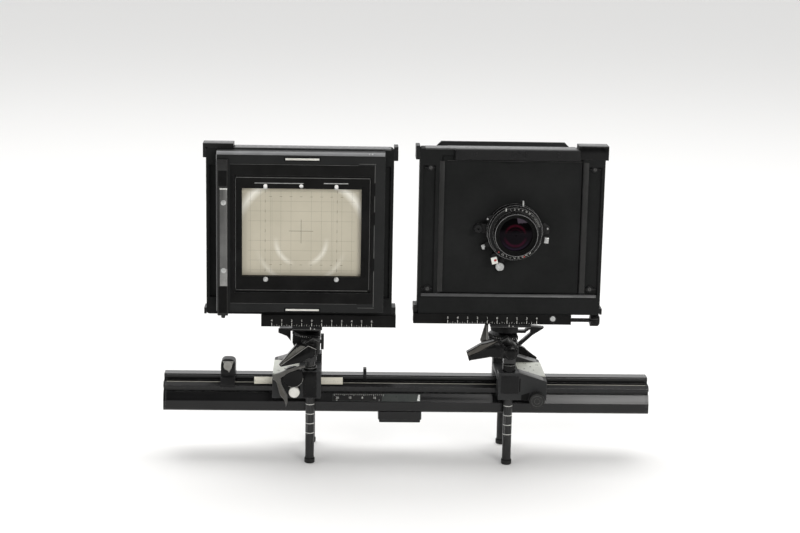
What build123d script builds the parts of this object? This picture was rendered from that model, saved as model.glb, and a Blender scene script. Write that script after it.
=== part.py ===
from build123d import *
import math
import os

# A 4x5 inch monorail view camera, resting on the four rods of its two standards.
# Units are millimetres. X runs along the rail, -Y is the side from which the lens board and the
# focusing screen are both seen, Z is up. The origin is on the ground under the middle of the rail.
# Both standards are swung a quarter turn from their working position, as for storage.

# ---- driving dimensions ----
rail_length = 495
rail_bottom = 50
rail_top = 78.5
head_half_width = 7
head_top = 84.5
groove_low, groove_high, groove_depth_y = 69, 73, 15.5

front_x = 102          # rods and swing axis of the front standard
rear_x = -98.5         # the same of the rear standard
rod_y = 34             # half the spacing of a pair of rods
rod_radius = 4.5
foot_radius, foot_height = 5.3, 4.5
running_clearance = 0.05

bearer_inner, bearer_outer = -11, 38     # along the rail, + is away from the other standard
bearer_bottom, bearer_top, bearer_low_top = 69.8, 98, 89
bearer_slant_start = 10
bearer_half_depth = 42
bridge_half_depth, bridge_top = 26, 89.5

tilt_z = 120
boss_radius = 8.8
axle_radius = 4
disc_radius, disc_z = 19, 126.2
spindle_radius = 5
front_bar_low, rear_bar_low, bar_high, bar_depth = 143.5, 141.2, 153.6, 16

frame_width, frame_low, frame_high, frame_depth = 185, 153.6, 321.4, 18
board_size, board_low = 140, 174.2
board_margin = 0.3
channel_width, channel_depth, sill_top = 13, 3, 173.8
front_frame_x, rear_frame_x = 101, -110
front_face, rear_face = -18, -30          # nearer faces of the two standard frames
lens_x, lens_z = 104, 240
screen_x, screen_z = -108, 239.5

os.makedirs("parts", exist_ok=True)


def finish(piece, name):
    """Label a finished piece and write it as its own STEP file."""
    piece.part.label = name
    export_step(piece.part, f"parts/{name}.step")


def level(frame, height):
    """Horizontal plane of a frame at a height."""
    return frame.offset(height)


def facing(frame, depth):
    """Upright plane at a frame's y = depth: sketch x is the frame's x, sketch y is height,
    and its normal points to the frame's -y."""
    origin = frame.from_local_coords(Vector(0, depth, 0))
    return Plane(origin=origin, x_dir=frame.x_dir, z_dir=-frame.y_dir)


def across(frame, along):
    """Upright plane at a frame's x = along: sketch x is the frame's y, sketch y is height."""
    origin = frame.from_local_coords(Vector(along, 0, 0))
    return Plane(origin=origin, x_dir=frame.y_dir, z_dir=frame.x_dir)


world = Plane.XY
front_base = Plane(origin=(front_x, 0, 0), x_dir=(1, 0, 0), z_dir=(0, 0, 1))
rear_base = Plane(origin=(rear_x, 0, 0), x_dir=(-1, 0, 0), z_dir=(0, 0, 1))


# ---- the rail ----
def rail_profile():
    """Half outline of the extrusion: wide foot, clamping groove and narrow guide head."""
    return [
        (0, rail_bottom), (20.5, rail_bottom), (22, rail_bottom + 1.5), (22, 60.4),
        (18.5, groove_low), (groove_depth_y, groove_low), (groove_depth_y, groove_high),
        (18.5, groove_high), (18.5, 75.5), (15, rail_top), (head_half_width, rail_top),
        (head_half_width, head_top - 1), (head_half_width - 1, head_top), (0, head_top),
    ]


cap_thickness = 2.5
with BuildPart() as rail:
    with BuildSketch(across(world, -rail_length / 2 + cap_thickness)) as section:
        with BuildLine():
            Polyline(*rail_profile(), close=True)
        make_face()
        mirror(about=Plane.YZ)
    extrude(amount=rail_length - 2 * cap_thickness)
    # key slot along the underside and the tapped hole for the tripod block
    with BuildSketch(across(world, -rail_length / 2 + cap_thickness)):
        with Locations((0, rail_bottom + 1)):
            Rectangle(8, 2.01)
    extrude(amount=rail_length - 2 * cap_thickness, mode=Mode.SUBTRACT)
finish(rail, "rail")

with BuildPart() as rail_end_caps:
    for start in (-rail_length / 2, rail_length / 2 - cap_thickness):
        with BuildSketch(across(world, start)):
            with BuildLine():
                Polyline(*rail_profile(), close=True)
            make_face()
            mirror(about=Plane.YZ)
        extrude(amount=cap_thickness)
finish(rail_end_caps, "rail_end_caps")

block_x, block_width, block_depth, block_bottom = -7, 44.5, 42, 38.5
thread_radius = 4.76
lock_z = 118
with BuildPart() as tripod_block:
    with BuildSketch(level(world, block_bottom + 3)):
        with Locations((block_x, 0)):
            RectangleRounded(block_width, block_depth, 3)
    extrude(amount=rail_bottom - block_bottom - 3)
    with BuildSketch(level(world, block_bottom)):
        with Locations((block_x, 0)):
            RectangleRounded(block_width - 2.4, block_depth - 2.4, 2)
    extrude(amount=3)
    with BuildSketch(level(world, block_bottom)):
        with Locations((block_x, 0)):
            Circle(thread_radius)
    extrude(amount=9.5, mode=Mode.SUBTRACT)
finish(tripod_block, "tripod_block")

label_left, label_right = -76, 14
with BuildPart() as rail_label_plate:
    slope = Plane(origin=((label_left + label_right) / 2, -20.25, 64.7), x_dir=(1, 0, 0),
                  z_dir=(0, -8.6, 3.5))
    with BuildSketch(slope):
        RectangleRounded(label_right - label_left, 7.6, 0.8)
    extrude(amount=0.6)
finish(rail_label_plate, "rail_label_plate")

strip_left, strip_length, strip_high = -155.6, 90, 84.3
with BuildPart() as rail_scale_strip:
    # upright on the edge of the rail's shoulder, its foot bent along the slope below
    with BuildSketch(across(world, strip_left)):
        with BuildLine():
            Polyline((-15, rail_top), (-15, strip_high), (-15.5, strip_high), (-15.5, 78.73),
                     (-16.845, 77.58), (-16.52, 77.2), close=True)
        make_face()
    extrude(amount=strip_length)
finish(rail_scale_strip, "rail_scale_strip")

# accessory clamp riding on the guide head
clamp_x, clamp_width = -182.5, 14.5
with BuildPart() as accessory_clamp:
    with BuildSketch(across(world, clamp_x - clamp_width / 2)):
        with BuildLine():
            Polyline((-10.5, rail_top + 0.3), (-10.5, 92), (-6, 100), (6, 100), (10.5, 92),
                     (10.5, rail_top + 0.3), close=True)
        make_face()
        with Locations((0, rail_top - 2)):
            Rectangle(2 * head_half_width + 0.6, 2 * (head_top - rail_top + 2.3), mode=Mode.SUBTRACT)
        # jaws reaching over the shoulders of the rail
        with BuildLine():
            Polyline((-10, rail_top + 0.3), (-15.3, rail_top + 0.3), (-18.9, 75.4), (-18.9, 74.2),
                     (-21.2, 74.2), (-21.2, 77.2), (-15.6, 82.5), (-10, 84), close=True)
        jaw = make_face()
        mirror(jaw, about=Plane.YZ)
    extrude(amount=clamp_width)
    fillet(accessory_clamp.edges().filter_by(Axis.Y).group_by(Axis.Z)[-1], 5)
    with BuildSketch(facing(world, 0)):
        with Locations((clamp_x, 94.5)):
            Circle(2.2)
    extrude(amount=15, mode=Mode.SUBTRACT)
finish(accessory_clamp, "accessory_clamp")

with BuildPart() as accessory_clamp_screw:
    with BuildSketch(facing(world, -1)):
        with Locations((clamp_x, 94.5)):
            Circle(2.15)
    extrude(amount=12)
    with BuildSketch(facing(world, -10.9)):
        with Locations((clamp_x, 94.5)):
            Circle(4.2)
    extrude(amount=3)
finish(accessory_clamp_screw, "accessory_clamp_screw")


# ---- one standard's base, the same for both, the rear one turned half round ----
knob_x, knob_z = 27.8, 71
screw_x, screw_z = 15.7, 77
lever_hub_x, lever_hub_z, hub_pin_radius = 16.9, 93.2, 1.5
outer_face = bearer_half_depth


def make_bearer(frame, name):
    """Bridge over the rail with a bored block on each side for the rods."""
    width = bearer_outer - bearer_inner
    with BuildPart() as bearer:
        with BuildSketch(across(frame, bearer_inner)):
            with BuildLine():
                Polyline((0, 85.2), (19.2, 85.2), (19.2, 72.6), (16, 72.6), (16, bearer_bottom),
                         (bearer_half_depth, bearer_bottom), (bearer_half_depth, bearer_top),
                         (bridge_half_depth, bearer_top), (bridge_half_depth, bridge_top),
                         (0, bridge_top), close=True)
            make_face()
            mirror(about=Plane.YZ)
        extrude(amount=width)
        # the tops of the side blocks fall away towards the outer end
        with BuildSketch(facing(frame, 50)):
            with BuildLine():
                Polyline((bearer_slant_start, bearer_top), (bearer_outer + 1, bearer_low_top),
                         (bearer_outer + 1, bearer_top + 1), (bearer_slant_start, bearer_top + 1),
                         close=True)
            make_face()
        extrude(amount=100, mode=Mode.SUBTRACT)
        # barrel for the focusing shaft below the block
        with BuildSketch(facing(frame, -23)):
            with Locations((knob_x, knob_z)):
                Circle(4.6)
        extrude(amount=outer_face - 23)
        with BuildSketch(level(frame, 60)):
            with Locations((0, rod_y), (0, -rod_y)):
                Circle(rod_radius + running_clearance)
        extrude(amount=45, mode=Mode.SUBTRACT)
        with BuildSketch(facing(frame, -19.5)):
            with Locations((knob_x, knob_z)):
                Circle(2.45)
        extrude(amount=30, mode=Mode.SUBTRACT)
        with BuildSketch(facing(frame, -15)):
            with Locations((knob_x, knob_z)):
                Circle(2.2)
        extrude(amount=6, mode=Mode.SUBTRACT)
        with BuildSketch(facing(frame, 50)):
            with Locations((screw_x, screw_z)):
                Circle(2.05)
        extrude(amount=32, mode=Mode.SUBTRACT)
        with BuildSketch(facing(frame, 50)):
            with Locations((lever_hub_x, lever_hub_z)):
                Circle(hub_pin_radius + running_clearance)
        extrude(amount=18, mode=Mode.SUBTRACT)
    finish(bearer, name)


def make_scale_plate(frame, name):
    """Engraved cover plate lying in the bridge between the two blocks."""
    with BuildPart() as plate:
        with BuildSketch(level(frame, bridge_top)):
            with Locations((25, 0)):
                Rectangle(26, 2 * bridge_half_depth)
        extrude(amount=1.4)
    finish(plate, name)


def make_focus_knob(frame, name):
    """Ribbed knob, its shaft and the drive roller that runs in the rail's groove."""
    with BuildPart() as knob:
        with BuildSketch(facing(frame, -outer_face - 0.4)):
            with Locations((knob_x, knob_z)):
                Circle(7.8)
                with PolarLocations(7.9, 24):
                    Circle(0.5, mode=Mode.SUBTRACT)
        extrude(amount=8)
        with BuildSketch(facing(frame, -20)):
            with Locations((knob_x, knob_z)):
                Circle(2.4)
        extrude(amount=outer_face - 20 + 0.5)
        with BuildSketch(facing(frame, -16.2)):
            with Locations((knob_x, knob_z)):
                Circle(1.9)
        extrude(amount=4)
    finish(knob, name)


def make_clamp_lever(frame, turned, name):
    """Bent lever that locks the bearer to the rail, on its round hub, left at its own angle."""
    outline = [(4.7, 105.9), (12.3, 104.9), (21.2, 102.1), (30.1, 98.3), (37.2, 95.9),
               (37.2, 91.3), (33.1, 90), (33.1, 86.7), (30, 75.1), (24.6, 69.6), (23.7, 62.6),
               (22.4, 66), (21.9, 75.2), (27.4, 85.8), (27.4, 93.2), (21.2, 99.3), (12, 101.5),
               (4.7, 101.5)]
    with BuildPart() as lever:
        with BuildSketch(facing(frame, outer_face + 8.3)):
            with Locations((lever_hub_x, lever_hub_z)):
                Circle(10.6)
        extrude(amount=8)
        with BuildSketch(facing(frame, outer_face + 8.3)):
            with Locations(Location((lever_hub_x, lever_hub_z), turned)):
                Polygon(*[(x - lever_hub_x, z - lever_hub_z) for x, z in outline], align=None)
        extrude(amount=3.2)
        with BuildSketch(facing(frame, outer_face + 1)):
            with Locations((lever_hub_x, lever_hub_z)):
                Circle(hub_pin_radius)
        extrude(amount=9)
    finish(lever, name)


def make_clamp_screw(frame, name):
    """White knurled thumb screw beside the clamp lever."""
    with BuildPart() as screw:
        with BuildSketch(facing(frame, outer_face + 4.7)):
            with Locations((screw_x, screw_z)):
                Circle(5.4)
                with PolarLocations(5.5, 20):
                    Circle(0.4, mode=Mode.SUBTRACT)
        extrude(amount=4.3)
        with BuildSketch(facing(frame, outer_face + 1)):
            with Locations((screw_x, screw_z)):
                Circle(2)
        extrude(amount=22)
    finish(screw, name)


def make_rods(frame, crown_high, name):
    """Two rods, each with the eye for the tilt axle on its top."""
    with BuildPart() as rods:
        with BuildSketch(level(frame, foot_height)):
            with Locations((0, rod_y), (0, -rod_y)):
                Circle(rod_radius)
        extrude(amount=tilt_z - foot_height - 6)
        for side in (1, -1):
            with BuildSketch(facing(frame, side * rod_y + 5.2)):
                with Locations((0, tilt_z)):
                    Circle(boss_radius)
                with Locations((0, tilt_z - 7.5)):
                    Rectangle(12.4, 11)
                with BuildLine():
                    Polyline((-8.8, tilt_z), (-9.4, 130.5), (-2.6, crown_high), (8.2, 124),
                             (8.8, tilt_z), close=True)
                make_face()
            extrude(amount=10.4)
            with BuildSketch(facing(frame, side * rod_y + 6)):
                with Locations((0, tilt_z)):
                    Circle(axle_radius + running_clearance)
            extrude(amount=12, mode=Mode.SUBTRACT)
    finish(rods, name)


def make_rod_feet(frame, name):
    """Cap on the lower end of each rod."""
    with BuildPart() as feet:
        with BuildSketch(level(frame, 0)):
            with Locations((0, rod_y), (0, -rod_y)):
                Circle(foot_radius)
        extrude(amount=foot_height)
        chamfer(feet.edges().group_by(Axis.Z)[0], 0.8)
    finish(feet, name)


def make_tilt_head(frame, lever_side, inner, outer, pin_reach, name):
    """Block that tilts between the rods, with its axle stubs, lock pin and swing spindle."""
    flush_end, lever_end = rod_y + 5, rod_y + 10.4
    start = lever_end if lever_side > 0 else flush_end
    with BuildPart() as head:
        with BuildSketch(facing(frame, 28.5)):
            with BuildLine():
                Polyline((-9.5, 124.5), (-9.5, 114), (-5.5, 109.5), (5.5, 109.5), (9.5, 114),
                         (9.5, 124.5), (7, disc_z), (-7, disc_z), close=True)
            make_face()
        extrude(amount=57)
        with BuildSketch(facing(frame, 14)):
            with BuildLine():
                Polyline((-inner, disc_z), (-inner, 120), (-inner + 3, 113), (-5.5, 109.5),
                         (5.5, 109.5), (outer - 3, 113), (outer, 120), (outer, disc_z),
                         close=True)
            make_face()
        extrude(amount=28)
        with BuildSketch(facing(frame, start)):
            with Locations((0, tilt_z)):
                Circle(axle_radius)
        extrude(amount=flush_end + lever_end)
        with BuildSketch(level(frame, disc_z - 1)):
            Circle(spindle_radius)
        extrude(amount=13.5)
        with BuildSketch(across(frame, -inner - pin_reach)):
            with Locations((0, lock_z)):
                Circle(2)
        extrude(amount=pin_reach + 1)
    finish(head, name)


def make_tilt_lever(frame, lever_side, outline, name):
    """Broad wedge-shaped lever on the end of the tilt axle."""
    near, hub_thickness = rod_y + 5.5, 6.3
    start = -near if lever_side < 0 else near + hub_thickness
    with BuildPart() as lever:
        with BuildSketch(facing(frame, start)):
            with Locations((0, tilt_z)):
                Circle(7.2)
            with BuildLine():
                Polyline(*outline, close=True)
            make_face()
        extrude(amount=hub_thickness)
        with BuildSketch(facing(frame, start + (0 if lever_side < 0 else -hub_thickness + 5))):
            with Locations((0, tilt_z)):
                Circle(axle_radius + running_clearance)
        extrude(amount=5, mode=Mode.SUBTRACT)
    finish(lever, name)


def make_swing_disc(frame, inner, outer, name):
    """Graduated disc fixed on the tilt head round the swing spindle, cut flat on one side."""
    with BuildPart() as disc:
        with BuildSketch(level(frame, disc_z)):
            Circle(disc_radius)
            with Locations(((outer - inner) / 2, 0)):
                Rectangle(inner + outer, 2 * disc_radius, mode=Mode.INTERSECT)
            Circle(spindle_radius, mode=Mode.SUBTRACT)
        extrude(amount=3)
        chamfer(disc.edges().group_by(Axis.Z)[-1].filter_by(GeomType.CIRCLE)
                .filter_by(lambda edge: edge.radius > spindle_radius + 1), 0.8)
    finish(disc, name)


def make_swing_lock_lever(frame, name):
    """Finned lever on the pin at the inner side of the tilt head."""
    with BuildPart() as lock:
        with BuildSketch(across(frame, -24.6)):
            with Locations((0, lock_z)):
                Circle(4.2)
        extrude(amount=5.8)
        with BuildSketch(facing(frame, 1.5)):
            with BuildLine():
                Polyline((-19.4, 138.6), (-22.6, 138.6), (-27.3, 121), (-24.4, 116.4),
                         (-19.4, 115.6), close=True)
            make_face()
        extrude(amount=3)
        with BuildSketch(across(frame, -23.6 - 2)):
            with Locations((0, lock_z)):
                Circle(2 + running_clearance)
        extrude(amount=8, mode=Mode.SUBTRACT)
    finish(lock, name)


def make_swing_lock_knob(frame, name):
    """Flat knurled wheel on the same pin."""
    with BuildPart() as lock:
        with BuildSketch(across(frame, -13.2)):
            with Locations((0, lock_z)):
                Circle(8.2)
                with PolarLocations(8.3, 24):
                    Circle(0.5, mode=Mode.SUBTRACT)
        extrude(amount=3)
        with BuildSketch(across(frame, -12.8)):
            with Locations((0, lock_z)):
                Circle(2 + running_clearance)
        extrude(amount=3, mode=Mode.SUBTRACT)
    finish(lock, name)


for frame, prefix, lever_side, inner, outer, crown_high, pin_reach, clamp_turn in (
        (front_base, "front", -1, 18.5, 9.5, 134.2, 7, -16),
        (rear_base, "rear", 1, 9.5, 18.5, 131.5, 3.2, 0)):
    make_bearer(frame, f"{prefix}_bearer")
    make_scale_plate(frame, f"{prefix}_scale_plate")
    make_focus_knob(frame, f"{prefix}_focus_knob")
    make_clamp_lever(frame, clamp_turn, f"{prefix}_clamp_lever")
    make_clamp_screw(frame, f"{prefix}_clamp_screw")
    make_rods(frame, crown_high, f"{prefix}_rods")
    make_rod_feet(frame, f"{prefix}_rod_feet")
    make_tilt_head(frame, lever_side, inner, outer, pin_reach, f"{prefix}_tilt_head")
    make_swing_disc(frame, inner + 0.5, outer + 0.5, f"{prefix}_swing_disc")
long_wedge = [(-44.2, 120.1), (-30.4, 128.5), (-12.7, 133.4), (-4, 125), (-4, 114.2),
              (-14.4, 114.4), (-20.2, 116.1), (-40.2, 111.8), (-41.4, 111.2)]
short_wedge = [(29.2, 103.4), (30.9, 105.6), (17.1, 122.3), (13.7, 126.6), (4, 125.5),
               (3, 113.8), (7.5, 108.8)]
make_tilt_lever(front_base, -1, long_wedge, "front_tilt_lever")
make_tilt_lever(rear_base, 1, short_wedge, "rear_tilt_lever")
make_swing_lock_lever(front_base, "front_swing_lock")
make_swing_lock_knob(rear_base, "rear_swing_lock")


# ---- swinging carriages, shift bars and frames, both facing -Y ----
front_top = Plane(origin=(front_x, 0, 0), x_dir=(1, 0, 0), z_dir=(0, 0, 1))
rear_top = Plane(origin=(rear_x, 0, 0), x_dir=(1, 0, 0), z_dir=(0, 0, 1))
carriage_low, plate_thickness, hub_top = 132.6, 3, 139.3
slot_low, slot_high, slot_depth = 147, 150.4, 3


def make_shift_carriage(frame, bar_face, bar_bottom, left, right, name):
    """Hub that turns on the spindle, with the bracket and tongue that carry the shift bar."""
    bar_back, middle = bar_face + bar_depth, (left + right) / 2
    plate_high = bar_bottom - 0.3
    plate_low = plate_high - plate_thickness
    with BuildPart() as carriage:
        with BuildSketch(level(frame, carriage_low)):
            Circle(17)
            with Locations((-3.5, 0)):
                Rectangle(27, 34, mode=Mode.INTERSECT)
        extrude(amount=plate_low - carriage_low)
        with BuildSketch(level(frame, plate_low)):
            Circle(17)
            with Locations((middle, (bar_face + bar_back + 8) / 2)):
                Rectangle(right - left, bar_depth + 8)
            with Locations((middle, 0)):
                Rectangle(right - left, 80, mode=Mode.INTERSECT)
        extrude(amount=plate_high - plate_low)
        with BuildSketch(level(frame, plate_high)):
            with Locations((middle, bar_back + 4.15)):
                Rectangle(right - left, 7.7)
        extrude(amount=152.8 - plate_high)
        with BuildSketch(level(frame, slot_low + 0.2)):
            with Locations((middle, bar_back - slot_depth / 2 + 0.8)):
                Rectangle(right - left, slot_depth + 1)
        extrude(amount=slot_high - slot_low - 0.4)
        with BuildSketch(level(frame, carriage_low - 1)):
            Circle(spindle_radius + running_clearance)
        extrude(amount=hub_top - carriage_low + 1, mode=Mode.SUBTRACT)
    finish(carriage, name)


def make_swing_lever(frame, turn, outlines, name):
    """Locking lever round the swing spindle; its arm is built from upright outlines."""
    with BuildPart() as lever:
        with BuildSketch(level(frame, 129.5)):
            Circle(8.6)
            with Locations((turn * 9.5, 0)):
                Rectangle(19, 5.2)
            Circle(spindle_radius + running_clearance, mode=Mode.SUBTRACT)
        extrude(amount=2.8)
        with BuildSketch(facing(frame, 2.6)):
            for outline in outlines:
                with BuildLine():
                    Polyline(*[(turn * x, z) for x, z in outline], close=True)
                make_face()
        extrude(amount=5.2)
    finish(lever, name)


def make_shift_bar(left, right, bar_face, bar_bottom, screw, name):
    """Graduated bar under the standard frame, slotted along its back and bored for a screw."""
    with BuildPart() as bar:
        with BuildSketch(across(world, left)):
            with Locations((bar_face + bar_depth / 2, (bar_bottom + bar_high) / 2)):
                Rectangle(bar_depth, bar_high - bar_bottom)
        extrude(amount=right - left)
        chamfer(bar.edges().filter_by(Axis.X).group_by(Axis.Z)[0], 0.5)
        with BuildSketch(across(world, left - 1)):
            with Locations((bar_face + bar_depth, (slot_low + slot_high) / 2)):
                Rectangle(2 * slot_depth, slot_high - slot_low)
        extrude(amount=right - left + 2, mode=Mode.SUBTRACT)
        if screw:
            with BuildSketch(across(world, right - screw_length - 0.5)):
                with Locations(screw):
                    Circle(screw_radius + running_clearance)
            extrude(amount=screw_length + 1, mode=Mode.SUBTRACT)
    finish(bar, name)


def make_standard_frame(centre_x, face, rebate, name):
    """Square frame with channelled posts, a stepped opening and a light-tight rebate."""
    middle_z = (frame_low + frame_high) / 2
    board_z = board_low + board_size / 2
    with BuildPart() as body:
        with BuildSketch(facing(world, face + frame_depth)):
            with Locations((centre_x, middle_z)):
                RectangleRounded(frame_width, frame_high - frame_low, 3)
        extrude(amount=frame_depth)
        with BuildSketch(facing(world, face + frame_depth + 1)):
            with Locations((centre_x, board_z)):
                Rectangle(118, 118)
        extrude(amount=frame_depth + 2, mode=Mode.SUBTRACT)
        if rebate:
            with BuildSketch(facing(world, face + rebate)):
                with Locations((centre_x, board_z)):
                    Rectangle(board_size + 2 * board_margin, board_size + 2 * board_margin)
            extrude(amount=rebate + 1, mode=Mode.SUBTRACT)
        with BuildSketch(facing(world, face + channel_depth)):
            with Locations((centre_x - 83, middle_z), (centre_x + 83, middle_z)):
                Rectangle(channel_width, frame_high - frame_low - 34)
        extrude(amount=channel_depth + 0.5, mode=Mode.SUBTRACT)
        if rebate:
            # sill under the lens board, standing forward with a sloping top
            with BuildSketch(across(world, centre_x - frame_width / 2 + 1)):
                with BuildLine():
                    Polyline((face + 1, frame_low), (face - 2.5, frame_low),
                             (face - 2.5, sill_top - 4.5), (face, sill_top), (face + 1, sill_top),
                             close=True)
                make_face()
            extrude(amount=frame_width - 2)
    finish(body, name)


def make_frame_caps(centre_x, face, block_side, name):
    """Wrapped cap on one upper corner and small end plates on the other corners."""
    side = frame_width / 2
    back = face + frame_depth
    with BuildPart() as caps:
        with BuildSketch(facing(world, back)):
            with BuildLine():
                Polyline((centre_x + block_side * (side - 27), frame_high),
                         (centre_x + block_side * (side - 27), frame_high + 4),
                         (centre_x + block_side * (side + 3), frame_high + 4),
                         (centre_x + block_side * (side + 3), frame_high - 10),
                         (centre_x + block_side * side, frame_high - 10),
                         (centre_x + block_side * side, frame_high), close=True)
            make_face()
            with Locations((centre_x - block_side * (side + 2), frame_high - 4.3)):
                Rectangle(4, 13.8)
            with Locations((centre_x - block_side * (side + 2), frame_low + 4.2)):
                Rectangle(4, 8)
            with Locations((centre_x + block_side * (side + 1.2), frame_low + 3)):
                Rectangle(2.4, 6)
        extrude(amount=frame_depth)
    finish(caps, name)


front_bar_face, rear_bar_face = -22, -32
shift_screw, screw_radius, screw_length = (-15, 147), 2, 16
make_shift_carriage(front_top, front_bar_face, front_bar_low, -19, 22, "front_shift_carriage")
make_shift_carriage(rear_top, rear_bar_face, rear_bar_low, -18.5, 11.5, "rear_shift_carriage")
open_loop = [[(17.5, 129.5), (24, 134), (24, 137.5), (22.4, 137.5), (17.5, 132.3)],
             [(23.6, 127.6), (23.6, 137.5), (37.4, 136.2), (37, 134.6), (26.2, 127.6)],
             [(10.9, 117.8), (13.2, 115.4), (26.2, 127.6), (23.8, 129.8)]]
closed_web = [[(17.5, 129.5), (17.5, 132.3), (30.9, 132.7), (33.2, 131), (33.2, 127.4),
               (24.5, 123.9), (20.6, 118.9), (20.6, 129.5)]]
make_swing_lever(front_top, 1, open_loop, "front_swing_lever")
make_swing_lever(rear_top, -1, closed_web, "rear_swing_lever")
make_shift_bar(4.8, 164.5, front_bar_face, front_bar_low, shift_screw, "front_shift_bar")
make_shift_bar(-148, -13.2, rear_bar_face, rear_bar_low, None, "rear_shift_bar")
make_standard_frame(front_frame_x, front_face, 5, "front_standard_frame")
make_standard_frame(rear_frame_x, rear_face, 0, "rear_standard_frame")
make_frame_caps(front_frame_x, front_face, 1, "front_frame_caps")
make_frame_caps(rear_frame_x, rear_face, -1, "rear_frame_caps")

# tapered knob on the outer end of the front shift bar, with its screw inside the bar
knob_y, knob_height = shift_screw
with BuildPart() as front_shift_knob:
    with BuildSketch(Plane.XZ.offset(-knob_y)):
        with BuildLine():
            Polyline((148.8, knob_height), (148.8, knob_height + screw_radius),
                     (183.5, knob_height + screw_radius), (184.5, knob_height + 5.7),
                     (192.8, knob_height + 5.7), (194, knob_height + 4.6), (194, knob_height),
                     close=True)
        make_face()
    revolve(axis=Axis((164, knob_y, knob_height), (1, 0, 0)))
finish(front_shift_knob, "front_shift_knob")


# ---- lens side ----
board_face = front_face + 2
board_z = board_low + board_size / 2
lens_axis = Axis((lens_x, 0, lens_z), (0, 1, 0))
neck_radius, drum_radius, shutter_radius, collar_radius = 17.2, 24, 27.6, 22
drum_front, shutter_front, collar_front = -22, -33, -38


def sphere_radius(half_chord, sag):
    """Radius of a lens surface from its half width and its depth."""
    return (half_chord ** 2 + sag ** 2) / (2 * sag)


def ring(name, back, front, inner, outer):
    """Plain ring about the lens axis."""
    with BuildPart() as piece:
        with BuildSketch(facing(world, back)):
            with Locations((lens_x, lens_z)):
                Circle(outer)
                Circle(inner, mode=Mode.SUBTRACT)
        extrude(amount=back - front)
    finish(piece, name)


with BuildPart() as lens_board:
    with BuildSketch(facing(world, board_face + 3)):
        with Locations((front_frame_x, board_z)):
            Rectangle(board_size, board_size)
        with Locations((lens_x, lens_z)):
            Circle(neck_radius, mode=Mode.SUBTRACT)
    extrude(amount=3)
    chamfer(lens_board.faces().sort_by(Axis.Y)[0].edges().filter_by(GeomType.LINE), 0.5)
finish(lens_board, "lens_board")

latch_low, latch_high = 310.4, 321.4
with BuildPart() as board_latch:
    with BuildSketch(facing(world, front_face - 0.2)):
        with Locations((105.5, (latch_low + latch_high) / 2)):
            RectangleRounded(125, latch_high - latch_low, 1.2)
    extrude(amount=3.2)
    chamfer(board_latch.faces().sort_by(Axis.Y)[0].edges().filter_by(Axis.X), 0.8)
finish(board_latch, "board_latch")

with BuildPart() as shutter_body:
    for back, front, radius in ((board_face + 5.5, board_face, neck_radius),
                                (board_face, drum_front, drum_radius),
                                (drum_front, shutter_front, shutter_radius),
                                (shutter_front, collar_front, collar_radius)):
        with BuildSketch(facing(world, back)):
            with Locations((lens_x, lens_z)):
                Circle(radius)
        extrude(amount=back - front)
    with BuildSketch(facing(world, board_face + 6)):
        with Locations((lens_x, lens_z)):
            Circle(14)
    extrude(amount=board_face + 6 - collar_front, mode=Mode.SUBTRACT)
    # flash socket at the lower left of the case
    with BuildSketch(facing(world, -24)):
        with Locations((lens_x - 19.6, lens_z - 25.4)):
            Circle(4)
    extrude(amount=7)
finish(shutter_body, "shutter_body")

ring("retaining_ring", board_face + 5.4, board_face + 3, neck_radius, 22)

speed_tab_angle = -12
with BuildPart() as speed_ring:
    with BuildSketch(facing(world, shutter_front - 0.3)):
        with Locations((lens_x, lens_z)):
            Circle(26.6)
            with PolarLocations(26.8, 60):
                Circle(0.5, mode=Mode.SUBTRACT)
            with Locations(Location((0, 0), speed_tab_angle)):
                with Locations((28.6, 0)):
                    RectangleRounded(6, 5, 1)
            Circle(collar_radius + running_clearance, mode=Mode.SUBTRACT)
    extrude(amount=3.9)
finish(speed_ring, "speed_ring")

cell_radius = 18
with BuildPart() as front_lens_barrel:
    with BuildSketch(Plane.XY.offset(lens_z)):
        with BuildLine():
            Polyline((lens_x + 14, collar_front), (lens_x + 21.5, collar_front),
                     (lens_x + 21.5, -46), (lens_x + 20.8, -47), (lens_x + 20.2, -47),
                     (lens_x + cell_radius, -43.4), (lens_x + cell_radius, -38.8),
                     (lens_x + 14, -38.8), close=True)
        make_face()
    revolve(axis=lens_axis)
finish(front_lens_barrel, "front_lens_barrel")

glass_radius, glass_edge, glass_pole = 17.9, -42, -45.4
with BuildPart() as front_lens_glass:
    with BuildSketch(Plane.XY.offset(lens_z)):
        with BuildLine():
            Polyline((lens_x, glass_pole), (lens_x, -39), (lens_x + glass_radius, -39),
                     (lens_x + glass_radius, glass_edge))
            RadiusArc((lens_x + glass_radius, glass_edge), (lens_x, glass_pole),
                      sphere_radius(glass_radius, glass_edge - glass_pole))
        make_face()
    revolve(axis=lens_axis)
finish(front_lens_glass, "front_lens_glass")

barrel_inner, barrel_outer, rear_pole, rear_rim = 13.6, 16.6, 4, 6
with BuildPart() as rear_lens_group:
    with BuildSketch(Plane.XY.offset(lens_z)):
        with BuildLine():
            Polyline((lens_x, rear_pole), (lens_x, board_face + 5.5),
                     (lens_x + barrel_outer, board_face + 5.5), (lens_x + barrel_outer, rear_rim),
                     (lens_x + barrel_inner, rear_rim))
            RadiusArc((lens_x + barrel_inner, rear_rim), (lens_x, rear_pole),
                      sphere_radius(barrel_inner, rear_rim - rear_pole))
        make_face()
    revolve(axis=lens_axis)
finish(rear_lens_group, "rear_lens_group")


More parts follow.
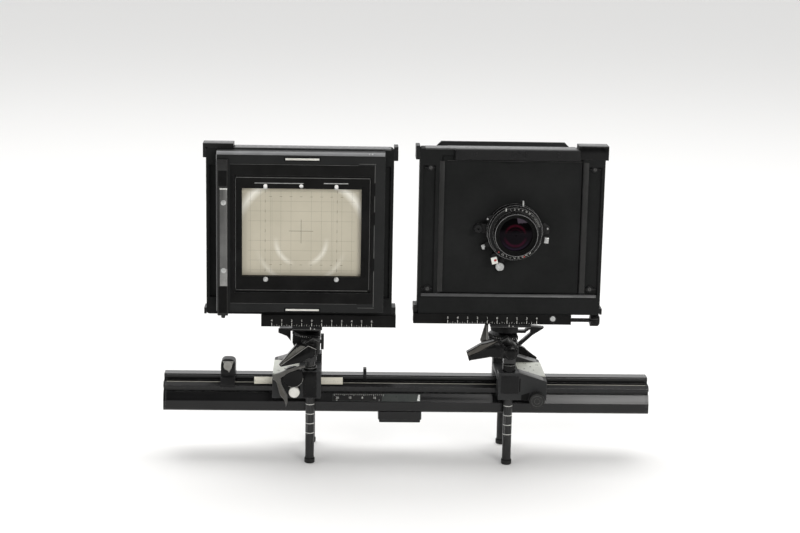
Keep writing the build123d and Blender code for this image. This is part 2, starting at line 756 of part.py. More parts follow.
def make_shutter_lever(name, back, front, angle, width, reach, knob_radius):
    """Ring on the shutter's drum with one arm, ending in a round or a square tip."""
    with BuildPart() as lever:
        with BuildSketch(facing(world, back)):
            with Locations((lens_x, lens_z)):
                Circle(27)
                with Locations(Location((0, 0), angle)):
                    with Locations(((drum_radius + reach) / 2, 0)):
                        Rectangle(reach - drum_radius, width)
                    with Locations((reach, 0)):
                        Circle(knob_radius)
                Circle(drum_radius + running_clearance, mode=Mode.SUBTRACT)
        extrude(amount=back - front)
    finish(lever, name)


make_shutter_lever("aperture_lever", -16.4, -17.9, 210, 5, 35, 2.6)
make_shutter_lever("cocking_lever", -18.2, -19.7, 250.5, 4, 39.6, 4.3)
make_shutter_lever("release_lever", -20, -21.6, 176, 9, 36, 4.6)


# ---- folded bellows behind the front standard ----
bellows_x, bellows_half_width, bellows_low, bellows_high = 95, 70, 165, 321.5
bellows_z = (bellows_low + bellows_high) / 2
bellows_start, bellows_end, bellows_plate = 3, 31, 3
corner_cut = 7


def make_bellows_piece(name, back, front, centre_x, half_width, half_height):
    """Eight-sided plate or block with the light path through it."""
    corners = [(half_width - corner_cut, half_height), (half_width, half_height - corner_cut)]
    right = corners + [(x, -z) for x, z in reversed(corners)]
    outline = right + [(-x, -z) for x, z in right]
    with BuildPart() as piece:
        with BuildSketch(facing(world, back)):
            with BuildLine():
                Polyline(*[(centre_x + x, bellows_z + z) for x, z in outline], close=True)
            make_face()
            with Locations((front_frame_x, bellows_z)):
                Rectangle(112, 112, mode=Mode.SUBTRACT)
        extrude(amount=back - front)
    finish(piece, name)


bellows_half_height = (bellows_high - bellows_low) / 2
make_bellows_piece("bellows_front_frame", bellows_start, 0, front_frame_x, bellows_half_width + 1,
                   bellows_half_height)
make_bellows_piece("bellows", bellows_end, bellows_start, bellows_x, bellows_half_width - 1,
                   bellows_half_height - 1)
make_bellows_piece("bellows_rear_frame", bellows_end + bellows_plate, bellows_end, bellows_x,
                   bellows_half_width, bellows_half_height)


# ---- focusing back on the rear standard ----
back_x, back_low, back_high, back_face = -109, 160, 320, -46
back_rear = rear_face - 0.2
opening_width, opening_height = 134, 117.2
opening_z = 238.2
window_width, window_height = 117.3, 88.3
with BuildPart() as spring_back:
    with BuildSketch(facing(world, back_rear)):
        with Locations((back_x, (back_low + back_high) / 2)):
            Rectangle(165, back_high - back_low)
        with Locations((-106.7, opening_z)):
            Rectangle(opening_width, opening_height, mode=Mode.SUBTRACT)
    extrude(amount=back_rear - back_face)
    chamfer(spring_back.faces().sort_by(Axis.Y)[0].edges().filter_by(Axis.X).group_by(Axis.Z)[-1], 3)
finish(spring_back, "spring_back")

holder_face, holder_back, glass_face = -44, -34, -38
with BuildPart() as glass_holder:
    with BuildSketch(facing(world, holder_back)):
        with Locations((-106.7, opening_z)):
            Rectangle(opening_width - 0.6, opening_height - 0.6)
        with Locations((screen_x, screen_z)):
            Rectangle(window_width, window_height, mode=Mode.SUBTRACT)
    extrude(amount=holder_back - holder_face)
    with BuildSketch(facing(world, holder_back)):
        with Locations((screen_x, screen_z)):
            Rectangle(window_width + 4, window_height + 4)
    extrude(amount=holder_back - glass_face, mode=Mode.SUBTRACT)
finish(glass_holder, "glass_holder")


def make_screen(name, back, front):
    """Rectangular sheet in the holder's pocket."""
    with BuildPart() as sheet:
        with BuildSketch(facing(world, back)):
            with Locations((screen_x, screen_z)):
                Rectangle(window_width + 3.6, window_height + 3.6)
        extrude(amount=back - front)
    finish(sheet, name)


make_screen("ground_glass", -36, glass_face)
make_screen("fresnel_lens", -34.4, -36)

with BuildPart() as glass_screws:
    low_z, high_z = screen_z - window_height / 2 - 2.6, screen_z + window_height / 2 + 2.8
    spots = [(-143, low_z), (-73, low_z), (-143.5, high_z), (-108.5, high_z), (-74, high_z)]
    with BuildSketch(facing(world, holder_face)):
        with Locations(*spots):
            Circle(1.9)
    extrude(amount=1.2)
finish(glass_screws, "glass_screws")

lever_x, lever_low, lever_high = -185.2, 156.5, 310
with BuildPart() as back_lever:
    with BuildSketch(level(world, lever_low)):
        with Locations((lever_x, back_face - 0.2 - 1.7)):
            SlotOverall(10.6, 3.4)
    extrude(amount=lever_high - lever_low)
finish(back_lever, "back_lever")
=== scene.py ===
"""Looks for the monorail view camera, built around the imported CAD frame. Shapes are given in
millimetres in the shared frame: +X along the rail, -Y towards the viewer, +Z up."""
import math

import bmesh
import bpy
from mathutils import Matrix, Vector


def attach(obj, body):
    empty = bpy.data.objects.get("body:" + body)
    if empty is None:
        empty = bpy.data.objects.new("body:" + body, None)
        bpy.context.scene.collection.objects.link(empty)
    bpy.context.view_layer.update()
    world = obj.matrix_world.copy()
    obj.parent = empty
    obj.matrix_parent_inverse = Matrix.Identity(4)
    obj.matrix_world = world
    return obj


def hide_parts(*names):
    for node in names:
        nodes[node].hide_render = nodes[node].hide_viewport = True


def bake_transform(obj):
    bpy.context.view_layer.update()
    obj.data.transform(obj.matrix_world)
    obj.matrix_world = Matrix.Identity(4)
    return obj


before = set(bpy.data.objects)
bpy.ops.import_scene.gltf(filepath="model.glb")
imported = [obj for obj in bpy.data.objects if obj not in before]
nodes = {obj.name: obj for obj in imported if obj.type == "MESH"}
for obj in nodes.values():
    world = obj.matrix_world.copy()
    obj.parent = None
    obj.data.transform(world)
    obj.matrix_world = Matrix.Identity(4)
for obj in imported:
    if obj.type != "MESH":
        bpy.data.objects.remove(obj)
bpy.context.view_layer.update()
MM = 0.001
X, Y, Z = Vector((1, 0, 0)), Vector((0, 1, 0)), Vector((0, 0, 1))
FRONT_BASE, REAR_BASE = 102, -98.5  # middle of each base along the rail


# ---- camera, light and floor ----
def aim_camera():
    """Long lens, a little above the camera's height and turned slightly to the right."""
    yaw, pitch, roll = math.radians(1.97), math.radians(12.39), math.radians(1.06)
    forward = Vector((math.sin(yaw) * math.cos(pitch), math.cos(yaw) * math.cos(pitch),
                      -math.sin(pitch)))
    right = Vector((math.cos(yaw), -math.sin(yaw), 0))
    up = right.cross(forward)
    side = right * math.cos(roll) + up * math.sin(roll)
    top = up * math.cos(roll) - right * math.sin(roll)
    lens = bpy.data.cameras.new("view")
    lens.lens, lens.sensor_width = 82.64, 36
    lens.clip_start, lens.clip_end = 0.05, 60
    eye = bpy.data.objects.new("view", lens)
    bpy.context.scene.collection.objects.link(eye)
    turn = Matrix((side, top, -forward)).transposed().to_4x4()
    eye.matrix_world = Matrix.Translation(Vector((-71.4, -1818.4, 597.0)) * MM) @ turn
    bpy.context.scene.camera = eye


def softbox(name, place, target, width, height, watts, colour=(1, 1, 1)):
    """Rectangular studio light aimed at a point; places in metres."""
    lamp = bpy.data.lights.new(name, "AREA")
    lamp.shape, lamp.size, lamp.size_y = "RECTANGLE", width, height
    lamp.energy, lamp.color = watts, colour
    holder = bpy.data.objects.new(name, lamp)
    bpy.context.scene.collection.objects.link(holder)
    place = Vector(place)
    holder.rotation_euler = (Vector(target) - place).to_track_quat("-Z", "Y").to_euler()
    holder.location = place


def build_studio():
    """Plain pale floor in front of a bright backdrop, with soft light from above and the front."""
    surround = bpy.data.worlds.new("surround")
    surround.use_nodes = True
    tree = surround.node_tree
    back = tree.nodes["Background"]
    back.inputs["Strength"].default_value = 1.0
    # brighter behind the camera's subject and overhead than on the viewer's side
    direction = tree.nodes.new("ShaderNodeTexCoord")
    tilt = tree.nodes.new("ShaderNodeVectorMath")
    tilt.operation = "DOT_PRODUCT"
    tilt.inputs[1].default_value = (0, 0.92, 0.39)
    spread = tree.nodes.new("ShaderNodeMapRange")
    spread.inputs["From Min"].default_value = -0.35
    spread.inputs["From Max"].default_value = 0.6
    spread.inputs["To Min"].default_value = 0.08
    spread.inputs["To Max"].default_value = 1.25
    tree.links.new(direction.outputs["Generated"], tilt.inputs[0])
    tree.links.new(tilt.outputs["Value"], spread.inputs["Value"])
    tree.links.new(spread.outputs["Result"], back.inputs["Color"])
    bpy.context.scene.world = surround
    softbox("overhead", (0.0, 0.8, 2.25), (0, 0.7, 0), 3.2, 2.2, 30)
    softbox("key", (1.05, -2.3, 1.36), (0.05, 0, 0.15), 1.25, 0.7, 32, (1, 0.99, 0.97))
    softbox("fill", (-1.7, -1.6, 1.3), (0, 0, 0.15), 1.0, 1.2, 9)
    floor = bpy.data.meshes.new("floor")
    reach = 16
    floor.from_pydata([(-reach, -reach, 0), (reach, -reach, 0), (reach, reach, 0),
                       (-reach, reach, 0)], [], [(0, 1, 2, 3)])
    ground = bpy.data.objects.new("floor", floor)
    bpy.context.scene.collection.objects.link(ground)
    pale = bpy.data.materials.new("floor")
    pale.use_nodes = True
    paint = pale.node_tree.nodes["Principled BSDF"]
    paint.inputs["Base Color"].default_value = (0.88, 0.875, 0.865, 1)
    paint.inputs["Roughness"].default_value = 0.8
    floor.materials.append(pale)
    bpy.context.scene.view_settings.view_transform = "Standard"


# ---- materials ----
class Finish:
    """A node material built up from small steps round one Principled shader."""

    def __init__(self, name, colour, metallic=0.0, roughness=0.5, specular=0.5):
        self.material = bpy.data.materials.new(name)
        self.material.use_nodes = True
        self.nodes = self.material.node_tree.nodes
        self.links = self.material.node_tree.links
        self.shader = self.nodes["Principled BSDF"]
        self.colour = colour
        self.set("Base Color", (*colour, 1))
        self.set("Metallic", metallic)
        self.set("Roughness", roughness)
        self.set("Specular IOR Level", specular)
        self.roughness = roughness
        coordinates = self.nodes.new("ShaderNodeTexCoord")
        self.place = coordinates.outputs["Object"]
        self.colour_output = None
        self.normal_output = None

    def set(self, socket, value):
        self.shader.inputs[socket].default_value = value
        return self

    def noise(self, size_mm, detail=3.0, stretch=(1, 1, 1)):
        """Noise with features of about size_mm, stretched by dividing the scale along axes."""
        mapping = self.nodes.new("ShaderNodeMapping")
        mapping.inputs["Scale"].default_value = [1 / s for s in stretch]
        texture = self.nodes.new("ShaderNodeTexNoise")
        texture.inputs["Scale"].default_value = 1 / (size_mm * MM)
        texture.inputs["Detail"].default_value = detail
        self.links.new(self.place, mapping.inputs["Vector"])
        self.links.new(mapping.outputs["Vector"], texture.inputs["Vector"])
        return texture.outputs["Fac"]

    def ranged(self, source, low, high, start=0.3, end=0.7):
        """Maps a value from start..end to low..high."""
        node = self.nodes.new("ShaderNodeMapRange")
        node.inputs["From Min"].default_value = start
        node.inputs["From Max"].default_value = end
        node.inputs["To Min"].default_value = low
        node.inputs["To Max"].default_value = high
        self.links.new(source, node.inputs["Value"])
        return node.outputs["Result"]

    def sum_of(self, first, second, operation="MULTIPLY"):
        node = self.nodes.new("ShaderNodeMath")
        node.operation = operation
        for socket, value in zip(node.inputs, (first, second)):
            if isinstance(value, (int, float)):
                socket.default_value = value
            else:
                self.links.new(value, socket)
        return node.outputs[0]

    def tint(self, factor, colour):
        """Mixes another colour over what is there."""
        mix = self.nodes.new("ShaderNodeMix")
        mix.data_type = "RGBA"
        self.links.new(factor, mix.inputs["Factor"])
        if self.colour_output is None:
            mix.inputs[6].default_value = (*self.colour, 1)
        else:
            self.links.new(self.colour_output, mix.inputs[6])
        mix.inputs[7].default_value = (*colour, 1)
        self.colour_output = mix.outputs[2]
        self.links.new(self.colour_output, self.shader.inputs["Base Color"])
        return self

    def clouds(self, size_mm, colour, amount=1.0):
        """Slow variation of colour, as handling and dust leave."""
        return self.tint(self.ranged(self.noise(size_mm), 0, amount), colour)

    def uneven_gloss(self, size_mm, spread, stretch=(1, 1, 1)):
        rough = self.ranged(self.noise(size_mm, 4, stretch), max(self.roughness - spread, 0.02),
                            min(self.roughness + spread, 1))
        self.links.new(rough, self.shader.inputs["Roughness"])
        return self

    def soft_edges(self, radius_mm=0.35, wear=None, amount=0.6):
        """Rounds sharp edges in the shading and rubs them lighter in patches."""
        bevel = self.nodes.new("ShaderNodeBevel")
        bevel.samples = 4
        bevel.inputs["Radius"].default_value = radius_mm * MM
        self.normal_output = bevel.outputs["Normal"]
        self.links.new(self.normal_output, self.shader.inputs["Normal"])
        if wear is not None:
            geometry = self.nodes.new("ShaderNodeNewGeometry")
            dot = self.nodes.new("ShaderNodeVectorMath")
            dot.operation = "DOT_PRODUCT"
            self.links.new(bevel.outputs["Normal"], dot.inputs[0])
            self.links.new(geometry.outputs["True Normal"], dot.inputs[1])
            rim = self.ranged(dot.outputs["Value"], amount, 0, 0.80, 0.985)
            patch = self.ranged(self.noise(2.2, 4), 0, 1, 0.38, 0.62)
            self.tint(self.sum_of(rim, patch), wear)
        return self

    def grain(self, size_mm, depth_mm, strength=1.0, stretch=(1, 1, 1), detail=2.0):
        """Fine bumps over everything else."""
        bump = self.nodes.new("ShaderNodeBump")
        bump.inputs["Distance"].default_value = depth_mm * MM
        bump.inputs["Strength"].default_value = strength
        self.links.new(self.noise(size_mm, detail, stretch), bump.inputs["Height"])
        if self.normal_output is not None:
            self.links.new(self.normal_output, bump.inputs["Normal"])
        self.normal_output = bump.outputs["Normal"]
        self.links.new(self.normal_output, self.shader.inputs["Normal"])
        return self


def make_finishes():
    """Every material of the camera, by name."""
    grey_wear, black = (0.14, 0.14, 0.145), (0.009, 0.009, 0.0095)
    made = {}

    def keep(finish):
        made[finish.material.name] = finish.material

    keep(Finish("anodised_rail", (0.0055, 0.0055, 0.0058), 0.3, 0.22, 0.46)
         .clouds(60, (0.011, 0.011, 0.0115)).uneven_gloss(3, 0.06, (60, 1, 1))
         .soft_edges(0.5, (0.30, 0.30, 0.29), 0.7).grain(0.35, 0.006, 0.5, (80, 1, 1)))
    keep(Finish("satin_black", black, 0.0, 0.4, 0.14)
         .clouds(25, (0.013, 0.013, 0.013)).uneven_gloss(6, 0.08)
         .soft_edges(0.45, grey_wear, 0.6).grain(0.5, 0.012, 0.5))
    keep(Finish("gloss_black", (0.003, 0.003, 0.0033), 0.0, 0.2, 0.13)
         .clouds(20, (0.006, 0.006, 0.006)).uneven_gloss(5, 0.08)
         .soft_edges(0.5, (0.20, 0.195, 0.19), 0.6).grain(0.4, 0.006, 0.4))
    keep(Finish("crinkle_black", (0.0078, 0.0083, 0.0082), 0.0, 0.62, 0.10)
         .clouds(40, (0.0125, 0.0130, 0.0130)).uneven_gloss(4, 0.08)
         .soft_edges(0.4, grey_wear, 0.4).grain(0.55, 0.03, 0.8, detail=3))
    keep(Finish("cast_grey", (0.016, 0.0165, 0.017), 0.0, 0.5, 0.24)
         .clouds(30, (0.022, 0.0225, 0.023)).uneven_gloss(5, 0.08)
         .soft_edges(0.5, (0.22, 0.22, 0.22), 0.6).grain(0.45, 0.015, 0.6))
    keep(Finish("back_grey", (0.0105, 0.011, 0.011), 0.0, 0.5, 0.14)
         .clouds(30, (0.0145, 0.015, 0.015)).uneven_gloss(5, 0.08)
         .soft_edges(0.5, (0.20, 0.20, 0.20), 0.6).grain(0.45, 0.015, 0.6))
    keep(Finish("frame_strip", (0.015, 0.015, 0.0145), 0.0, 0.5, 0.2)
         .clouds(18, (0.020, 0.020, 0.0195)).uneven_gloss(4, 0.08)
         .soft_edges(0.3, (0.2, 0.2, 0.2), 0.6).grain(0.45, 0.012, 0.6))
    keep(Finish("rod_black", (0.016, 0.016, 0.016), 0.4, 0.33, 0.45)
         .clouds(12, (0.028, 0.028, 0.028)).uneven_gloss(2, 0.1, (1, 1, 14))
         .grain(0.3, 0.008, 0.5, (1, 1, 25)))
    keep(Finish("soft_plastic", (0.010, 0.010, 0.010), 0.0, 0.5, 0.28)
         .clouds(15, (0.016, 0.016, 0.015)).uneven_gloss(3, 0.08)
         .soft_edges(0.5, (0.07, 0.07, 0.07), 0.6).grain(0.35, 0.015, 0.6))
    keep(Finish("holder_black", (0.0035, 0.0035, 0.0034), 0.0, 0.5, 0.08)
         .clouds(20, (0.008, 0.008, 0.0078)).uneven_gloss(4, 0.08)
         .soft_edges(0.4, (0.08, 0.08, 0.078), 0.5).grain(0.4, 0.012, 0.6))
    keep(Finish("lever_grey", (0.066, 0.064, 0.06), 0.3, 0.42, 0.4)
         .clouds(8, (0.095, 0.092, 0.086)).uneven_gloss(2, 0.1)
         .soft_edges(0.4, (0.36, 0.35, 0.33), 0.8).grain(0.3, 0.01, 0.6))
    # painted light and shade: a lighter facet on the front tilt lever, a darker lower facet on the
    # rear clamp arm
    keep(Finish("painted_facet_light_shade", (0.05, 0.046, 0.040), 0.2, 0.4, 0.4)
         .clouds(7, (0.078, 0.072, 0.062)).uneven_gloss(2, 0.1)
         .soft_edges(0.3, (0.3, 0.29, 0.27), 0.7).grain(0.3, 0.01, 0.6))
    keep(Finish("rib_grey", (0.085, 0.084, 0.076), 0.2, 0.42, 0.4)
         .clouds(6, (0.14, 0.136, 0.122)).uneven_gloss(2, 0.1)
         .soft_edges(0.3, (0.4, 0.39, 0.36), 0.7).grain(0.3, 0.01, 0.6))
    keep(Finish("fin_grey", (0.22, 0.215, 0.20), 0.3, 0.4, 0.4)
         .clouds(6, (0.31, 0.305, 0.285)).uneven_gloss(2, 0.1)
         .soft_edges(0.3, (0.5, 0.49, 0.46), 0.7).grain(0.3, 0.01, 0.6))
    # painted highlights: thin lighter lines laid along edges, where the edges catch the light
    keep(Finish("painted_edge_highlight", (0.10, 0.10, 0.098), 0.3, 0.45, 0.4)
         .clouds(4, (0.15, 0.15, 0.145)).uneven_gloss(2, 0.1).grain(0.3, 0.006, 0.5))
    # painted light: a pale tan strip on the rail's ledge, standing in for the light on its top face
    keep(Finish("painted_ledge_light", (0.34, 0.33, 0.285), 0.1, 0.45, 0.4)
         .clouds(30, (0.24, 0.23, 0.195)).uneven_gloss(2, 0.1).grain(0.3, 0.006, 0.5))
    # painted highlights: bright lines on lever edges and the clamp hub's rim
    keep(Finish("painted_bright_edge", (0.36, 0.355, 0.34), 0.3, 0.42, 0.4)
         .clouds(4, (0.24, 0.235, 0.22)).uneven_gloss(2, 0.1).grain(0.3, 0.006, 0.5))
    keep(Finish("rim_grey", (0.16, 0.16, 0.16), 0.7, 0.3, 0.5)
         .clouds(5, (0.30, 0.30, 0.30)).uneven_gloss(2, 0.1).grain(0.2, 0.004, 0.5))
    keep(Finish("bright_metal", (0.52, 0.525, 0.52), 0.6, 0.36, 0.5)
         .clouds(3, (0.38, 0.385, 0.38)).uneven_gloss(1.5, 0.1)
         .soft_edges(0.25, (0.85, 0.85, 0.82), 0.5).grain(0.2, 0.006, 0.6))
    keep(Finish("dull_steel", (0.045, 0.045, 0.044), 0.5, 0.38, 0.5)
         .clouds(3, (0.07, 0.07, 0.068)).uneven_gloss(1.5, 0.1).grain(0.2, 0.006, 0.6))
    # painted light: the back's top bevel and left edge made lighter, where the light falls on them
    keep(Finish("painted_bevel_light", (0.20, 0.203, 0.207), 0.2, 0.42, 0.5)
         .clouds(16, (0.15, 0.152, 0.155)).uneven_gloss(3, 0.1)
         .soft_edges(0.3, (0.4, 0.4, 0.4), 0.6).grain(0.4, 0.01, 0.6))
    # painted light: the frames' top faces and the board's sill made lighter, where light from above
    # falls
    keep(Finish("painted_top_light", (0.055, 0.0555, 0.056), 0.1, 0.42, 0.5)
         .clouds(16, (0.075, 0.076, 0.077)).uneven_gloss(3, 0.1)
         .soft_edges(0.3, (0.3, 0.3, 0.3), 0.6).grain(0.4, 0.01, 0.6))
    keep(Finish("plate_end", (0.21, 0.21, 0.205), 0.7, 0.4, 0.5)
         .clouds(5, (0.28, 0.28, 0.27)).uneven_gloss(2, 0.1, (1, 1, 30))
         .soft_edges(0.3, (0.5, 0.5, 0.48), 0.7).grain(0.25, 0.01, 0.8, (1, 1, 40)))
    keep(Finish("grey_mark", (0.34, 0.34, 0.33), 0.0, 0.5, 0.3)
         .clouds(2, (0.25, 0.25, 0.24)).grain(0.3, 0.01, 0.5))
    keep(Finish("grid_mark", (0.22, 0.205, 0.16), 0.0, 0.5, 0.3)
         .clouds(4, (0.29, 0.27, 0.215)).grain(0.3, 0.01, 0.3))
    keep(Finish("grid_dark", (0.07, 0.065, 0.05), 0.0, 0.5, 0.3)
         .clouds(4, (0.11, 0.10, 0.08)).grain(0.3, 0.01, 0.3))
    keep(Finish("scale_plate", (0.47, 0.48, 0.42), 0.1, 0.36, 0.5)
         .clouds(7, (0.55, 0.56, 0.50)).uneven_gloss(2, 0.1)
         .soft_edges(0.3, (0.6, 0.6, 0.58), 0.7).grain(0.25, 0.006, 0.5, (1, 20, 1)))
    keep(Finish("white_plastic", (0.78, 0.77, 0.73), 0.0, 0.4, 0.5)
         .clouds(4, (0.66, 0.65, 0.6)).uneven_gloss(2, 0.1)
         .soft_edges(0.3).grain(0.3, 0.01, 0.5))
    keep(Finish("cream_strip", (0.78, 0.75, 0.65), 0.0, 0.45, 0.45)
         .clouds(9, (0.70, 0.67, 0.57)).clouds(1.5, (0.74, 0.71, 0.61), 0.5)
         .uneven_gloss(3, 0.1).soft_edges(0.2).grain(0.4, 0.008, 0.4))
    keep(Finish("chrome", (0.78, 0.78, 0.77), 1.0, 0.2, 0.5)
         .clouds(2, (0.6, 0.6, 0.58), 0.6).uneven_gloss(1, 0.08)
         .soft_edges(0.25).grain(0.2, 0.004, 0.5))
    keep(Finish("steel", (0.56, 0.57, 0.56), 0.9, 0.34, 0.5)
         .clouds(4, (0.45, 0.46, 0.45)).uneven_gloss(1.5, 0.1)
         .soft_edges(0.25, (0.8, 0.8, 0.78), 0.6).grain(0.2, 0.006, 0.6, (1, 1, 10)))
    keep(Finish("brushed_plate", (0.10, 0.10, 0.098), 0.8, 0.44, 0.45)
         .clouds(14, (0.14, 0.14, 0.137)).uneven_gloss(2, 0.1, (1, 1, 30))
         .soft_edges(0.3, (0.5, 0.5, 0.48), 0.7).grain(0.25, 0.01, 0.8, (1, 1, 40)))
    keep(Finish("white_mark", (0.74, 0.74, 0.71), 0.0, 0.55, 0.3)
         .clouds(1.2, (0.5, 0.5, 0.47)).grain(0.3, 0.01, 0.5))
    keep(Finish("dark_mark", (0.05, 0.05, 0.045), 0.0, 0.55, 0.3)
         .clouds(2, (0.09, 0.09, 0.08)).grain(0.3, 0.01, 0.5))
    keep(Finish("red_mark", (0.42, 0.03, 0.025), 0.0, 0.45, 0.4)
         .clouds(1, (0.3, 0.02, 0.02)).grain(0.3, 0.01, 0.5))
    keep(Finish("label_green", (0.018, 0.023, 0.021), 0.2, 0.35, 0.4)
         .clouds(6, (0.028, 0.033, 0.030)).uneven_gloss(2, 0.1)
         .soft_edges(0.25, (0.2, 0.2, 0.19), 0.6).grain(0.3, 0.006, 0.5))
    keep(Finish("bellows_cloth", (0.013, 0.013, 0.014), 0.0, 0.7, 0.25)
         .clouds(18, (0.021, 0.021, 0.022)).uneven_gloss(3, 0.1)
         .grain(0.5, 0.05, 0.7, detail=1).grain(6, 0.3, 0.4))
    keep(screen_glass())
    keep(ringed_plastic())
    keep(deep_glass())
    keep(dark_coating("violet_coating", (0.75, 0.35, 0.8)))
    keep(Finish("light_trap", (0.004, 0.004, 0.004), 0.0, 0.75, 0.1)
         .clouds(5, (0.006, 0.006, 0.006)).grain(0.3, 0.02, 0.5))
    return made


def screen_glass():
    """Cream ground glass; its fixed lighter rings stand in for glints of the ringed lens."""
    finish = Finish("screen", (0.47, 0.435, 0.34), 0.0, 0.42, 0.45)
    finish.clouds(30, (0.52, 0.48, 0.38))
    centre = Vector((-108.4, -38, 231)) * MM
    shift = finish.nodes.new("ShaderNodeVectorMath")
    shift.operation = "SUBTRACT"
    shift.inputs[1].default_value = centre
    length = finish.nodes.new("ShaderNodeVectorMath")
    length.operation = "LENGTH"
    parts = finish.nodes.new("ShaderNodeSeparateXYZ")
    finish.links.new(finish.place, shift.inputs[0])
    finish.links.new(shift.outputs[0], length.inputs[0])
    finish.links.new(shift.outputs[0], parts.inputs[0])
    radius = length.outputs["Value"]
    height = finish.sum_of(parts.outputs["Z"], radius, "DIVIDE")
    sideways = finish.sum_of(finish.sum_of(parts.outputs["X"], 0, "ABSOLUTE"), radius, "DIVIDE")
    rings = ((66, 6.0, 0.9, 0.15, 0.6), (44, 3.5, 0.4, -0.2, -0.7), (25, 3.5, 0.55, 0.15, -0.35))
    for ring_mm, width_mm, amount, low, high in rings:
        away = finish.sum_of(finish.sum_of(radius, ring_mm * MM, "SUBTRACT"), 0, "ABSOLUTE")
        band = finish.ranged(away, amount, 0, 0, width_mm * MM)
        reach = finish.sum_of(finish.ranged(sideways, 0, 1, 0.25, 0.6),
                              finish.ranged(height, 0, 1, low, high))
        finish.tint(finish.sum_of(band, reach), (0.86, 0.84, 0.76))
    finish.uneven_gloss(2, 0.05).grain(0.15, 0.01, 0.6)
    return finish


def ringed_plastic():
    return Finish("fresnel", (0.6, 0.58, 0.5), 0.0, 0.2, 0.5).clouds(
        20, (0.66, 0.63, 0.54)).grain(0.4, 0.01, 0.6)


def deep_glass():
    """Polished front glass; fixed red and violet rings stand in for inner reflections."""
    finish = Finish("front_element", (0.0018, 0.0016, 0.0018), 0.0, 0.06, 0.07)
    finish.set("Specular Tint", (0.8, 0.65, 0.85, 1))
    shift = finish.nodes.new("ShaderNodeVectorMath")
    shift.operation = "SUBTRACT"
    shift.inputs[1].default_value = Vector((103.2, -44, 239.4)) * MM
    parts = finish.nodes.new("ShaderNodeSeparateXYZ")
    finish.links.new(finish.place, shift.inputs[0])
    finish.links.new(shift.outputs[0], parts.inputs[0])
    x, z = parts.outputs["X"], parts.outputs["Z"]
    square = finish.sum_of(finish.sum_of(x, x), finish.sum_of(z, z), "ADD")
    radius = finish.sum_of(square, 0.5, "POWER")
    height = finish.sum_of(z, radius, "DIVIDE")
    for ring_mm, width_mm, low, high, amount, colour in (
            (10.0, 1.8, 0.1, 0.8, 0.8, (0.042, 0.004, 0.010)),
            (10.6, 2.2, -0.1, -0.7, 0.8, (0.034, 0.003, 0.012)),
            (14.2, 1.8, -0.3, -0.9, 0.7, (0.020, 0.012, 0.026)),
            (6.6, 1.2, 0.2, 0.9, 0.5, (0.016, 0.002, 0.006))):
        away = finish.sum_of(finish.sum_of(radius, ring_mm * MM, "SUBTRACT"), 0, "ABSOLUTE")
        band = finish.ranged(away, amount, 0, 0, width_mm * MM)
        finish.tint(finish.sum_of(band, finish.ranged(height, 0, 1, low, high)), colour)
    return finish.uneven_gloss(8, 0.015)


def dark_coating(name, tint):
    """Inner lens surface: nearly black, with a coloured reflection."""
    finish = Finish(name, (0.003, 0.002, 0.003), 0.0, 0.06, 0.9)
    finish.set("Specular Tint", (*tint, 1))
    return finish.uneven_gloss(6, 0.03).grain(5, 0.02, 0.2)


